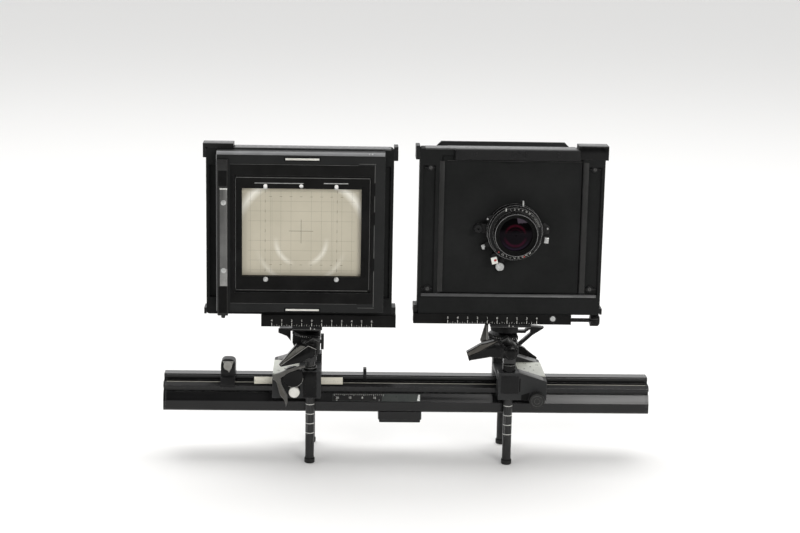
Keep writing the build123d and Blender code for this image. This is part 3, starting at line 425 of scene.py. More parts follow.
# ---- shapes ----
class Piece:
    """Gathers shapes, given in millimetres, into one mesh that rides on a body."""

    def __init__(self, name, body, material, slot):
        self.name, self.body, self.material, self.slot = name, body, material, slot
        self.mesh = bmesh.new()

    def take(self, shape, turn=None):
        """Adds a finished bmesh, moved by a matrix, to the piece."""
        if turn is not None:
            bmesh.ops.transform(shape, matrix=turn, verts=shape.verts)
        bmesh.ops.recalc_face_normals(shape, faces=shape.faces)
        carrier = bpy.data.meshes.new("carrier")
        shape.to_mesh(carrier)
        shape.free()
        self.mesh.from_mesh(carrier)
        bpy.data.meshes.remove(carrier)
        return self

    def block(self, low, high, bevel=0.0, turn=None):
        """Box between two corners with rounded edges."""
        low, high = Vector(low), Vector(high)
        shape = bmesh.new()
        bmesh.ops.create_cube(shape, size=1)
        bmesh.ops.transform(shape, verts=shape.verts,
                            matrix=Matrix.Translation((low + high) / 2)
                            @ Matrix.Diagonal((*(high - low), 1)))
        if bevel:
            bmesh.ops.bevel(shape, geom=list(shape.edges), offset=bevel, segments=2,
                            profile=0.5, affect="EDGES")
        return self.take(shape, turn)

    def prism(self, outline, origin, right, up, depth, bevel=0.0):
        """Outline in a plane, pushed out by depth along right x up."""
        origin, right, up = Vector(origin), Vector(right), Vector(up)
        out = right.cross(up).normalized() * depth
        shape = bmesh.new()
        near = [shape.verts.new(origin + right * a + up * b) for a, b in outline]
        far = [shape.verts.new(v.co + out) for v in near]
        shape.faces.new(near)
        shape.faces.new(far[::-1])
        for i in range(len(near)):
            j = (i + 1) % len(near)
            shape.faces.new((near[j], near[i], far[i], far[j]))
        if bevel:
            bmesh.ops.bevel(shape, geom=list(shape.edges), offset=bevel, segments=2,
                            profile=0.5, affect="EDGES")
        return self.take(shape)

    def lathe(self, centre, axis, profile, closed=True, segments=72, sweep=360, start=0):
        """Turns (radius, along) points about an axis; a radius of 0 makes a pole."""
        axis = Vector(axis).normalized()
        side = axis.orthogonal().normalized() if abs(axis.y) < 0.9 else X
        other = axis.cross(side)
        shape, rings = bmesh.new(), []
        full = sweep >= 360
        steps = segments if full else segments + 1
        for radius, along in profile:
            base = Vector(centre) + axis * along
            if radius == 0:
                rings.append([shape.verts.new(base)])
                continue
            ring = []
            for k in range(steps):
                angle = math.radians(start + sweep * k / segments)
                ring.append(shape.verts.new(base + radius * (side * math.cos(angle)
                                                             + other * math.sin(angle))))
            rings.append(ring)
        pairs = list(zip(rings, rings[1:]))
        if closed:
            pairs.append((rings[-1], rings[0]))
        for one, two in pairs:
            for k in range(segments):
                n = (k + 1) % steps if full else k + 1
                corners = [one[k % len(one)], one[n % len(one)], two[n % len(two)],
                           two[k % len(two)]]
                corners = list(dict.fromkeys(corners))
                if len(corners) > 2:
                    shape.faces.new(corners)
        if closed and not full:
            shape.faces.new([ring[0] for ring in rings])
            shape.faces.new([ring[-1] for ring in rings][::-1])
        return self.take(shape)

    def slotted_screw(self, centre, out, radius, height, slot_angle=0.0):
        """Low domed screw head with a cut across it, made as two half caps."""
        out = Vector(out).normalized()
        side = out.orthogonal().normalized()
        turn = Matrix.Rotation(math.radians(slot_angle), 3, out)
        side = turn @ side
        other = out.cross(side)
        gap = radius * 0.13
        for sign in (1, -1):
            shape = bmesh.new()
            limit = math.asin(gap / radius)
            angles = [limit + (math.pi - 2 * limit) * k / 14 for k in range(15)]
            outline = [(radius * math.cos(a), sign * radius * math.sin(a)) for a in angles]
            low = [shape.verts.new(Vector(centre) + side * a + other * b) for a, b in outline]
            mid = [shape.verts.new(v.co + out * height * 0.6) for v in low]
            top = [shape.verts.new(Vector(centre) + side * a * 0.8
                                   + other * (sign * gap + (b - sign * gap) * 0.8) + out * height)
                   for a, b in outline]
            for one, two in ((low, mid), (mid, top)):
                for k in range(len(one)):
                    n = (k + 1) % len(one)
                    shape.faces.new((one[k], one[n], two[n], two[k]))
            shape.faces.new(top)
            shape.faces.new(low[::-1])
            self.take(shape)
        return self.lathe(Vector(centre), out, [(0, 0), (radius * 0.97, 0),
                                               (radius * 0.97, height * 0.35),
                                               (0, height * 0.35)], segments=24)

    def text(self, words, centre, size, right, up, lift=0.05):
        """Raised numeral standing on a surface."""
        curve = bpy.data.curves.new("numeral", "FONT")
        curve.body, curve.size, curve.extrude = words, size, lift
        curve.align_x, curve.align_y = "CENTER", "CENTER"
        curve.resolution_u = 2
        holder = bpy.data.objects.new("numeral", curve)
        flat = bpy.data.meshes.new_from_object(holder)
        shape = bmesh.new()
        shape.from_mesh(flat)
        bmesh.ops.remove_doubles(shape, verts=shape.verts, dist=0.001)
        right, up = Vector(right).normalized(), Vector(up).normalized()
        turn = Matrix((right, up, right.cross(up))).transposed().to_4x4()
        bpy.data.objects.remove(holder)
        bpy.data.curves.remove(curve)
        bpy.data.meshes.remove(flat)
        return self.take(shape, Matrix.Translation(Vector(centre)) @ turn)

    def done(self, smooth=35):
        """Makes the object, gives it its material and lets it ride on its body."""
        bmesh.ops.scale(self.mesh, vec=(MM, MM, MM), verts=self.mesh.verts)
        mesh = bpy.data.meshes.new(self.name)
        self.mesh.to_mesh(mesh)
        self.mesh.free()
        mesh.materials.append(finishes[self.material])
        mesh.shade_smooth()
        mesh.set_sharp_from_angle(angle=math.radians(smooth))
        piece = bpy.data.objects.new(self.name, mesh)
        bpy.context.scene.collection.objects.link(piece)
        if self.body is not None:
            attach(piece, self.body)
        return piece


def dress_nodes():
    """Gives every carried-over CAD node its material."""
    looks = {
        "anodised_rail": ["rail", "rail_end_caps", "tripod_block"],
        "label_green": ["rail_label_plate"],
        "cream_strip": ["rail_scale_strip"],
        "satin_black": ["accessory_clamp", "front_tilt_head", "rear_tilt_head",
                        "front_swing_disc", "rear_swing_disc", "front_shift_carriage",
                        "rear_shift_carriage", "rear_frame_caps", "front_frame_caps",
                        "retaining_ring", "board_latch"],
        "holder_black": ["glass_holder", "front_shift_bar", "rear_shift_bar"],
        "gloss_black": ["front_tilt_lever", "rear_tilt_lever", "front_swing_lever",
                        "rear_swing_lever", "shutter_body", "front_lens_barrel", "speed_ring",
                        "rear_lens_group", "front_clamp_lever", "front_shift_knob",
                        "release_lever", "aperture_lever", "cocking_lever"],
        "crinkle_black": ["lens_board", "front_standard_frame", "rear_standard_frame"],
        "cast_grey": ["front_bearer", "rear_bearer", "bellows_front_frame",
                      "bellows_rear_frame"],
        "back_grey": ["spring_back"],
        "rod_black": ["front_rods", "rear_rods"],
        "soft_plastic": ["front_rod_feet", "rear_rod_feet", "front_focus_knob",
                         "rear_focus_knob", "rear_swing_lock", "back_lever"],
        "lever_grey": ["rear_clamp_lever", "front_swing_lock"],
        "scale_plate": ["front_scale_plate", "rear_scale_plate"],
        "white_plastic": ["front_clamp_screw", "rear_clamp_screw"],
        "chrome": ["glass_screws"],
        "fin_grey": ["accessory_clamp_screw"],
        "screen": ["ground_glass"],
        "fresnel": ["fresnel_lens"],
        "front_element": ["front_lens_glass"],
        "bellows_cloth": ["bellows"],
    }
    for look, names in looks.items():
        for name in names:
            slots = nodes[name].data.materials
            slots.clear()
            slots.append(finishes[look])
    left = set(nodes) - {name for names in looks.values() for name in names}
    if left:
        raise ValueError(f"nodes with no material: {sorted(left)}")


# ---- engraved scales ----
def bar_scale(name, body, node, face, low, first, count, zero):
    """White marks 10 mm apart with halves between them and a numeral over each."""
    marks = Piece(name, body, "white_mark", node)
    for k in range(count):
        x = first + 10 * k
        marks.block((x - 0.22, face - 0.06, low), (x + 0.22, face + 0.02, low + 3.3))
        marks.text(str(abs(k - zero)), (x, face - 0.03, low + 5.6), 3.2, X, Z)
        if k < count - 1:
            for step, height in ((2.5, 0.9), (5, 1.7), (7.5, 0.9)):
                marks.block((x + step - 0.12, face - 0.05, low),
                            (x + step + 0.12, face + 0.02, low + height))
    marks.done()


def engrave_scales():
    bar_scale("front_bar_marks", "front_standard", "front_shift_bar", -22, 144.2, 39.6, 10, 5)
    bar_scale("rear_bar_marks", "rear_standard", "rear_shift_bar", -32, 141.9, -137.4, 11, 4)
    for side, x in (("front", FRONT_BASE), ("rear", REAR_BASE)):
        rings = Piece(f"{side}_rod_rings", f"{side}_rods", "white_mark", f"{side}_rods")
        for height in range(32, 103, 10):
            rings.lathe((x, -34, height), Z, [(4.44, -0.32), (4.53, -0.32), (4.53, 0.32),
                                              (4.44, 0.32)], segments=40)
        rings.done()
    strip = Piece("rail_strip_marks", "rail", "dark_mark", "rail_scale_strip")
    for k in range(45):
        height = 2.2 if k % 5 == 0 else 1.2
        x = -154.6 + 2 * k
        strip.block((x - 0.08, -15.56, 79.2), (x + 0.08, -15.48, 79.2 + height))
    strip.done()
    slope_up = Vector((0, 3.5, 8.6)).normalized()
    slope_out = Vector((0, -8.6, 3.5)).normalized()
    centre = Vector((-31, -20.25, 64.7)) + slope_out * 0.6
    label = Piece("rail_label_marks", "rail", "white_mark", "rail_label_plate")
    for k in range(26):
        height = 1.9 if k % 5 == 0 else 1.0
        at = centre + X * (-43 + 2 * k) + slope_up * (3.3 - height / 2)
        turn = Matrix((X, slope_out, slope_up)).transposed().to_4x4()
        label.block((-0.13, -0.03, -height / 2), (0.13, 0.04, height / 2), 0,
                    Matrix.Translation(at) @ turn)
    for words, x, drop, size in (("20", -40, -0.6, 3.4), ("15", -27, -0.4, 3.1),
                                 ("8", -14.5, -0.4, 3.1), ("10", -2, -0.4, 3.1),
                                 ("4", -40.5, -3.0, 2.1), ("2", 2.6, -2.6, 2.0)):
        label.text(words, centre + X * x + slope_up * drop + slope_out * 0.02, size, X, slope_up)
    label.done()
    dark = Piece("rail_label_black", "rail", "satin_black", "rail_label_plate")
    dark.prism([(-44.6, -3.6), (5.5, -3.6), (5.5, 3.6), (-44.6, 3.6)],
               centre - slope_out * 0.02, X, slope_up, 0.04)
    dark.done()
    # painted highlight: a slanted patch of bright steel at the plate's end
    shine = Piece("rail_label_end_glint", "rail", "steel", "rail_label_plate")
    shine.prism([(41.2, -3.2), (44.2, -3.2), (44.2, 3.2), (42.6, 3.2)],
                centre - slope_out * 0.02, X, slope_up, 0.06)
    shine.done()


# ---- the lens and its shutter ----
LENS = Vector((104, 0, 240))
TOWARDS = Vector((0, -1, 0))


def around(radius, degrees, depth):
    """Point beside the lens axis: angle from +X towards +Z, depth as a y coordinate."""
    angle = math.radians(degrees)
    return Vector((LENS.x + radius * math.cos(angle), depth, LENS.z + radius * math.sin(angle)))


def set_at(place, degrees):
    """Matrix that moves a part to a place and turns it about the lens axis."""
    return Matrix.Translation(place) @ Matrix.Rotation(math.radians(degrees), 4, "Y")


def reading_directions(degrees):
    """Right and up directions of a figure that is turned by degrees."""
    turn = math.radians(degrees)
    return (Vector((math.cos(turn), 0, math.sin(turn))),
            Vector((-math.sin(turn), 0, math.cos(turn))))


def dome(radius, edge, pole, steps=12):
    """(radius, along) points of a shallow cap from its pole to its edge."""
    sag = pole - edge
    sphere = (radius ** 2 + sag ** 2) / (2 * abs(sag))
    lift = math.copysign(1, sag)
    points = []
    for k in range(steps + 1):
        r = radius * k / steps
        points.append((r, pole - lift * (sphere - math.sqrt(sphere ** 2 - r ** 2))))
    return points


def thin_ring(piece, radius, width, front, height=0.25, segments=96):
    """Fine raised ring about the lens axis, its face at the depth `front`."""
    piece.lathe(LENS, TOWARDS, [(radius, front), (radius + width, front),
                                (radius + width, front - height), (radius, front - height)],
                segments=segments)


def detail_lens():
    rims = Piece("lens_rims", "front_standard", "rim_grey", "front_lens_barrel")
    thin_ring(rims, 20.9, 0.3, 46.95, 0.4)
    rims.done()
    threads = Piece("filter_thread", "front_standard", "light_trap", "front_lens_barrel")
    threads.lathe(LENS, TOWARDS, [(20.7, 47.1), (20.3, 47.15), (19.9, 46.7), (20.0, 46.4),
                                  (19.5, 46.1), (19.6, 45.8), (19.1, 45.5), (19.2, 45.2),
                                  (18.7, 44.9), (18.8, 44.6), (18.3, 44.3), (18.1, 43.6),
                                  (18.4, 43.4), (20.7, 46.6)])
    threads.done()
    retainer = Piece("glass_retainer", "front_standard", "light_trap", "front_lens_barrel")
    retainer.lathe(LENS, TOWARDS, [(16.6, 42.6), (17.9, 43.3), (18.3, 43.5), (18.3, 42.4),
                                   (16.6, 41.9)])
    retainer.done()
    knurl = Piece("barrel_knurl", "front_standard", "gloss_black", "front_lens_barrel")
    for k in range(96):
        knurl.block((-0.2, -2.2, -0.24), (0.28, 2.2, 0.24), 0,
                    set_at(around(21.62, 3.75 * k, -41.9), -3.75 * k))
    knurl.done()
    rings = Piece("speed_ring_lines", "speed_ring", "rim_grey", "speed_ring")
    for radius in (22.5, 25.9):
        thin_ring(rings, radius, 0.16, 37.28, 0.12)
    rings.done()
    edge = Piece("shutter_edge", "front_standard", "rim_grey", "shutter_body")
    thin_ring(edge, 27.35, 0.25, 33.1, 0.3)
    thin_ring(edge, 27.45, 0.3, 23.0, 0.5)
    edge.done()
    speeds = Piece("speed_figures", "speed_ring", "white_mark", "speed_ring")
    dim = Piece("speed_figures_dim", "speed_ring", "grey_mark", "speed_ring")
    for k, words in enumerate(("1", "2", "4", "8", "15", "30", "60", "125", "250", "500")):
        angle = 103 - 9.2 * k
        right, up = reading_directions(angle - 90)
        (speeds if k < 6 else dim).text(words, around(24.3, angle, -37.24), 2.5, right, up)
    speeds.block((93.4, -37.32, 262.4), (94.3, -37.2, 265.4))
    speeds.done()
    dim.done()
    # fixed arc with the apertures, under the speed ring's lower half
    arc = Piece("aperture_arc", "front_standard", "gloss_black", "shutter_body")
    arc.lathe(LENS, TOWARDS, [(22.15, 37.35), (26.3, 37.35), (26.3, 37.6), (22.15, 37.6)],
              segments=40, sweep=96, start=222)
    arc.done()
    marks = Piece("aperture_figures", "front_standard", "white_mark", "shutter_body")
    for k, words in enumerate(("5.6", "8", "11", "16", "22", "32", "45", "64")):
        angle = 240 + 9.6 * k
        right, up = reading_directions(angle + 90)
        marks.text(words, around(24.6, angle, -37.63), 2.1, right, up)
        marks.block((-0.35, -0.03, -0.11), (0.35, 0.03, 0.11), 0,
                    set_at(around(22.7, angle, -37.62), -angle))
    marks.done()
    red = Piece("aperture_red", "front_standard", "red_mark", "shutter_body")
    for angle in (229, 292):
        red.lathe(around(24.9, angle, -37.6), TOWARDS, [(0, 0), (0.75, 0), (0.75, 0.1), (0, 0.1)],
                  segments=20)
    red.done()
    # pins, sockets and the bright ends of the small levers
    pins = Piece("shutter_pins", "front_standard", "bright_metal", "shutter_body")
    pins.block((110.4, -33.0, 266.6), (112.0, -30.4, 272.3), 0.35)
    pins.lathe((136.8, -25.6, 243.3), TOWARDS, [(0, 0), (0.95, 0), (0.95, 1.4), (0.5, 1.8),
                                              (0, 1.8)], segments=24)
    pins.lathe((76.2, -30.6, 253.4), TOWARDS, [(0, 0), (0.9, 0), (0.9, 1.6), (0.5, 2), (0, 2)],
               segments=24)
    pins.done()
    tab = Piece("shutter_side_tab", "front_standard", "satin_black", "shutter_body")
    tab.prism([(130.2, 247.5), (130.6, 237.2), (138.3, 238.2), (139.2, 244.6), (134, 248.6)],
              (0, -24.2, 0), X, Z, 1.5, 0.3)
    tab.prism([(78.6, 250.2), (82, 257), (76.4, 256), (74.3, 252.4)], (0, -29.2, 0), X, Z, 1.5,
              0.3)
    tab.lathe((67.6, -21.75, 242.4), TOWARDS, [(0, 0), (4.1, 0), (4.1, 5.4), (3.3, 6.2),
                                              (1.6, 6.2), (1.6, 3.6), (0, 3.6)], segments=40)
    tab.done()
    silver = Piece("speed_tab_cap", "speed_ring", "bright_metal", "speed_ring")
    turn = set_at(around(31.6, -12, -35.3), 6)
    silver.block((-2.2, -2.2, -2.9), (2.3, 2.2, 2.9), 0.5, turn)
    for k in range(4):
        silver.block((-2.0, -2.4, -2.3 + 1.35 * k), (2.1, -2.1, -1.9 + 1.35 * k), 0.08, turn)
    silver.done()
    tip = Piece("aperture_tip", "aperture_lever", "bright_metal", "aperture_lever")
    turn = set_at(around(34.9, 210, -18.6), 62)
    tip.prism([(-2.6, -1.5), (2.0, -1.9), (2.7, 0.2), (0.9, 0.5), (0.7, 2.1), (-2.3, 1.9)],
              (0, 0, 0), X, Z, 1.2, 0.25)
    bmesh.ops.transform(tip.mesh, matrix=turn, verts=tip.mesh.verts)
    tip.done()
    knob = Piece("cocking_tip", "cocking_lever", "bright_metal", "cocking_lever")
    knob.lathe(around(39.6, 250.5, -19.7), TOWARDS, [(0, 0), (4.35, 0), (4.35, 0.9), (3.7, 1.5),
                                                   (2.7, 1.5), (2.2, 1.1), (0, 1.1)],
               segments=48)
    knob.done()
    socket = Piece("flash_socket", "front_standard", "white_plastic", "shutter_body")
    turn = set_at(Vector((84.2, -31.6, 211.4)), -14)
    socket.block((-3.1, -0.8, -3.5), (3.1, 0.9, 3.5), 0.5, turn)
    socket.done()
    dot = Piece("flash_socket_mark", "front_standard", "red_mark", "shutter_body")
    dot.block((-0.3, -0.95, -0.9), (2.1, -0.75, 1.2), 0.05, turn)
    dot.done()
    back = Piece("rear_glass", "front_standard", "violet_coating", "rear_lens_group")
    back.lathe(LENS, -TOWARDS, dome(13.4, 6.05, 4.1) + [(13.4, 5.9), (0, 3.98)], segments=64)
    back.done()


# ---- the lens standard ----
def detail_front_standard():
    body, node = "front_standard", "front_standard_frame"
    strips = Piece("front_frame_strips", body, "frame_strip", node)
    strips.block((28.2, -18.5, 176), (33.3, -17.9, 309), 0.25)
    strips.block((171.9, -18.5, 176), (177.1, -17.9, 309), 0.25)
    strips.done()
    # painted light: the sill's slope in a lighter finish, lit from above
    sill = Piece("front_sill_slope", body, "painted_top_light", node)
    sill.prism([(-18.1, 174.0), (-19.5, 171.4), (-19.2, 171.2), (-17.8, 173.6)], (12.0, 0, 0),
               Y, Z, 177.0, 0.08)
    sill.done()
    posts = Piece("front_frame_bosses", body, "satin_black", node)
    screws = Piece("front_frame_screws", body, "dull_steel", node)
    for x, z in ((19.4, 302), (18.4, 178.5), (183.4, 302), (182.6, 179.5)):
        posts.lathe((x, -15, z), TOWARDS, [(0, 0), (3.4, 0), (3.1, 1.6), (0, 1.6)], segments=40)
        posts.block((x - 6.0 if x < 100 else x - 5.2, -17.6, z - 0.55),
                    (x + 4.6 if x < 100 else x + 6.0, -15.1, z + 0.55), 0.25)
        screws.slotted_screw((x, -16.7, z), TOWARDS, 2.0, 1.0, 35 + x)
    posts.done()
    screws.done()
    latch = Piece("board_latch_grips", "board_latch", "satin_black", "board_latch")
    for k in range(13):
        latch.block((97.5 + 1.3 * k, -21.75, 312.4), (98.2 + 1.3 * k, -21.3, 320.6), 0.15)
    latch.block((91, -21.6, 309.4), (112, -18.3, 310.6), 0.3)
    latch.done()
    pins = Piece("board_latch_pins", "board_latch", "satin_black", "board_latch")
    for x in (64, 146):
        pins.slotted_screw((x, -21.3, 316.6), TOWARDS, 2.1, 0.7, 20)
    pins.done()
    ledges = Piece("front_frame_top_lines", body, "frame_strip", node)
    ledges.block((36, -18.35, 309.2), (171, -17.9, 309.9), 0.15)
    ledges.done()
    # painted light: a lighter sheet over the frame's top face, lit from above
    top = Piece("front_frame_top", body, "painted_top_light", node)
    top.prism([(-18.2, 320.6), (-17.6, 321.7), (-0.4, 321.7), (-0.4, 321.3), (-17.4, 321.3),
               (-17.9, 320.4)], (14.0, 0, 0), Y, Z, 152.0, 0.06)
    top.done()
    cap = Piece("front_corner_cap_face", body, "gloss_black", "front_frame_caps")
    cap.prism([(167.0, 311.8), (196.1, 311.8), (196.1, 324.9), (167.0, 324.9)],
              (0, -17.9, 0), X, Z, 0.5, 0.2)
    cap.done()
    # painted light: a lighter sheet over the corner cap's top, lit from above
    cap_top = Piece("front_corner_cap_top", body, "painted_top_light", "front_frame_caps")
    cap_top.block((167.2, -17.8, 325.2), (195.8, -0.5, 325.6), 0.1)
    cap_top.done()
    screw = Piece("front_bar_screw", body, "bright_metal", "front_shift_bar")
    screw.slotted_screw((145.9, -21.9, 149.6), TOWARDS, 2.7, 0.7, 30)
    screw.done()
    ring = Piece("front_bar_screw_ring", body, "satin_black", "front_shift_bar")
    ring.lathe((145.9, -21.95, 149.6), TOWARDS, [(2.9, 0), (3.9, 0), (3.7, 0.5), (2.9, 0.5)],
               segments=40)
    ring.done()
    ribs = Piece("shift_knob_ribs", "shift_knob", "gloss_black", "front_shift_knob")
    for k in range(20):
        angle = math.radians(18 * k)
        spot = Vector((188.6, -15 + 5.72 * math.cos(angle), 147 + 5.72 * math.sin(angle)))
        ribs.block((-3.9, -0.3, -0.3), (3.9, 0.3, 0.3), 0.1,
                   Matrix.Translation(spot) @ Matrix.Rotation(angle, 4, "X"))
    ribs.done()


def pleated_bellows():
    """Folded cloth between the two bellows frames, with its corners cut."""
    folds, start, end, wall = 9, 3.05, 30.95, 0.6
    crest_half, valley_half = (69.3, 77.4), (64.2, 71.5)  # half width and half height
    shape = bmesh.new()

    def loop(depth, half_width, half_height):
        cut = 7
        corners = [(half_width - cut, half_height), (half_width, half_height - cut)]
        right = corners + [(x, -z) for x, z in reversed(corners)]
        outline = right + [(-x, -z) for x, z in right]
        return [shape.verts.new((95 + x, depth, 243.25 + z)) for x, z in outline]

    outside, inside = [], []
    for k in range(2 * folds + 1):
        depth = start + (end - start) * k / (2 * folds)
        wide, high = crest_half if k % 2 == 1 else valley_half
        outside.append(loop(depth, wide, high))
        inside.append(loop(depth, wide - wall, high - wall))
    for skin in (outside, inside):
        for one, two in zip(skin, skin[1:]):
            for k in range(8):
                n = (k + 1) % 8
                shape.faces.new((one[k], one[n], two[n], two[k]))
    for outer, inner in ((outside[0], inside[0]), (outside[-1], inside[-1])):
        for k in range(8):
            n = (k + 1) % 8
            shape.faces.new((outer[k], outer[n], inner[n], inner[k]))
    cloth = Piece("bellows_cloth", None, "bellows_cloth", "bellows")
    cloth.take(shape)
    drape = cloth.done(smooth=20)
    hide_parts("bellows")
    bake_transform(drape)


# ---- the focusing back ----
def detail_back():
    grid = Piece("screen_grid", "glass_holder", "grid_mark", "ground_glass")
    strong = Piece("screen_grid_strong", "glass_holder", "grid_dark", "ground_glass")
    cx, cz, face = -108.5, 240.3, -38.03
    left, right, low, high = -165.6, -50.4, 196.3, 282.7
    thin = 0.09
    for k in range(-5, 6):
        x = cx + 10 * k
        if k:
            grid.block((x - thin, face, low + 2), (x + thin, face + 0.02, high - 2))
    for x in (cx - 30, cx + 30):
        grid.block((x - 0.02 + 1.4, face, low + 12), (x + 0.1 + 1.4, face + 0.02, high - 10))
    for k in range(-4, 5):
        z = cz + 9.9 * k
        if k:
            grid.block((left + 5, face, z - thin), (right - 5, face + 0.02, z + thin))
    for x in (cx - 35.4, cx + 35.4):
        grid.block((x - 0.06, face, low + 3), (x + 0.06, face + 0.02, high - 4))
        for k in range(-4, 5):
            z = cz + 9.9 * k
            strong.block((x - 0.16, face - 0.01, z - 1.5), (x + 0.16, face + 0.02, z + 1.5))
    for z in (cz - 34.2, cz + 34.4):
        for k in range(-3, 5):
            x = cx + 10 * k
            strong.block((x - 1.3, face - 0.01, z - 0.14), (x + 1.3, face + 0.02, z + 0.14))
    strong.block((cx - 12, face - 0.01, cz - 0.17), (cx + 12, face + 0.02, cz + 0.17))
    strong.block((cx - 0.17, face - 0.01, cz - 12.4), (cx + 0.17, face + 0.02, cz + 11.6))
    grid.done()
    strong.done()
    # clips and bright edges on the frame that holds the glass
    clips = Piece("screen_clips", "glass_holder", "bright_metal", "glass_holder")
    for x in (-143.5, -74):
        clips.block((x - 1.9, -44.9, 283.4), (x + 1.9, -43.8, 287.2), 0.3)
    clips.block((-154.3, -44.2, 288.7), (-106.4, -43.95, 289.3), 0.05)
    clips.block((-86.4, -44.2, 288.9), (-62.6, -43.95, 289.7), 0.05)
    clips.done()
    heads = Piece("screen_screw_slots", "glass_holder", "light_trap", "glass_screws")
    heads.block((-110.0, -45.32, 285.3), (-107.2, -45.15, 285.9))
    heads.done()
    screws = Piece("screen_screw_heads", "glass_holder", "bright_metal", "glass_screws")
    for x, z in ((-143.1, 192.8), (-73.2, 193.1)):
        screws.lathe((x, -45.1, z), TOWARDS, [(0, 0), (2.5, 0), (2.3, 0.5), (1.2, 0.9), (0, 1.0)],
                     segments=32)
    screws.done()
    # painted highlights: thin light lines along the holder's inner edges
    lips = Piece("back_inner_lips", "glass_holder", "painted_edge_highlight", "glass_holder")
    for low_corner, high_corner in (((-172.6, -44.3, 294.2), (-41.0, -43.9, 294.7)),
                                    ((-172.6, -44.3, 181.4), (-42.6, -43.9, 181.8)),
                                    ((-172.9, -44.3, 183), (-172.5, -43.9, 293.5)),
                                    ((-41.2, -44.3, 183), (-40.8, -43.9, 293.5))):
        lips.block(low_corner, high_corner, 0.05)
    lips.done()
    steps = Piece("back_inner_steps", "glass_holder", "light_trap", "glass_holder")
    steps.block((-49.2, -44.25, 196), (-44.5, -43.9, 216), 0.1)
    steps.block((-49.2, -44.25, 262), (-44.5, -43.9, 286), 0.1)
    steps.block((-171.2, -44.25, 222), (-168.0, -43.9, 252), 0.1)
    steps.done()
    # slots with white toothed strips in the top and bottom of the back
    for name, low_x, low_z in (("top", -124.0, 312.3), ("bottom", -123.2, 161.2)):
        pocket = Piece(f"back_{name}_slot", "rear_standard", "light_trap", "spring_back")
        pocket.block((low_x - 1.6, -46.15, low_z - 1.0), (low_x + 34.4, -45.9, low_z + 3.0), 0.1)
        pocket.done()
        teeth = Piece(f"back_{name}_strip", "rear_standard", "white_plastic", "spring_back")
        teeth.block((low_x, -46.5, low_z), (low_x + 33.0, -46.05, low_z + 1.9), 0.12)
        for k in range(32):
            teeth.block((low_x + 0.5 + k, -46.75, low_z + 0.15),
                        (low_x + 1.0 + k, -46.3, low_z + 1.75), 0.08)
        teeth.done()
    # painted highlights: thin light lines along the edges of the back's border
    lines = Piece("back_corner_lines", "rear_standard", "painted_edge_highlight", "spring_back")
    for low_corner, high_corner in (((-52.0, -46.2, 309.0), (-35.4, -45.95, 309.35)),
                                    ((-52.0, -46.2, 164.6), (-35.4, -45.95, 164.9)),
                                    ((-36.6, -46.2, 166), (-36.2, -45.95, 308.5)),
                                    ((-178.0, -46.2, 307.6), (-53.0, -45.95, 307.8)),
                                    ((-178.0, -46.2, 168.4), (-53.0, -45.95, 168.6))):
        lines.block(low_corner, high_corner, 0.04)
    lines.done()
    # painted shade: a darker sheet over the border's inner step, between its line and the holder,
    # where the step lies in shade
    shade = Piece("back_step_shade", "rear_standard", "holder_black", "spring_back")
    for low_x, low_z, high_x, high_z in ((-178, 296.9, -37, 307.6), (-178, 168.6, -37, 179.5),
                                         (-178, 179.5, -173.8, 296.9),
                                         (-39.6, 179.5, -37, 296.9)):
        shade.block((low_x, -46.08, low_z), (high_x, -45.92, high_z))
    shade.done()
    hooks = Piece("back_side_springs", "rear_standard", "light_trap", "spring_back")
    for z in (199.5, 246, 275):
        hooks.prism([(-39.6, z), (-36.0, z + 3.0), (-36.0, z + 16), (-39.6, z + 13)],
                    (0, -45.9, 0), X, Z, 0.35, 0.1)
    hooks.done()
    # painted light: lighter strips on the back's top bevel and down its left edge
    bevel = Piece("back_top_bevel", "rear_standard", "painted_bevel_light", "spring_back")
    bevel.prism([(-46.05, 317.1), (-43.1, 320.1), (-42.8, 319.9), (-45.85, 316.8)],
                (-191.2, 0, 0), Y, Z, 164.4, 0.05)
    bevel.prism([(-46.1, 160.4), (-46.1, 317.0), (-45.9, 317.0), (-45.9, 160.4)],
                (-191.55, 0, 0), Y, Z, 0.7, 0.03)
    bevel.done()
    # painted light: a lighter sheet over the rear frame's top face, lit from above
    top = Piece("rear_frame_top", "rear_standard", "painted_top_light", "rear_standard_frame")
    top.prism([(-30.1, 320.6), (-29.6, 321.7), (-12.4, 321.7), (-12.4, 321.3), (-29.4, 321.3),
               (-29.9, 320.4)], (-174.6, 0, 0), Y, Z, 154.0, 0.06)
    top.done()
    # painted light: a lighter sheet over the rear corner cap's top, lit from above
    cap_top = Piece("rear_corner_cap_top", "rear_standard", "painted_top_light", "rear_frame_caps")
    cap_top.block((-204.8, -29.8, 325.2), (-176.2, -12.5, 325.6), 0.1)
    cap_top.done()
    dots = Piece("back_top_studs", "rear_standard", "bright_metal", "spring_back")
    for x, radius in ((-42.2, 0.7), (-39.2, 0.9)):
        dots.lathe((x, -44.6, 318.5), Vector((0, -1, 1)), [(0, 0), (radius, 0),
                                                         (radius * 0.7, 0.6), (0, 0.7)],
                   segments=20)
    dots.done()
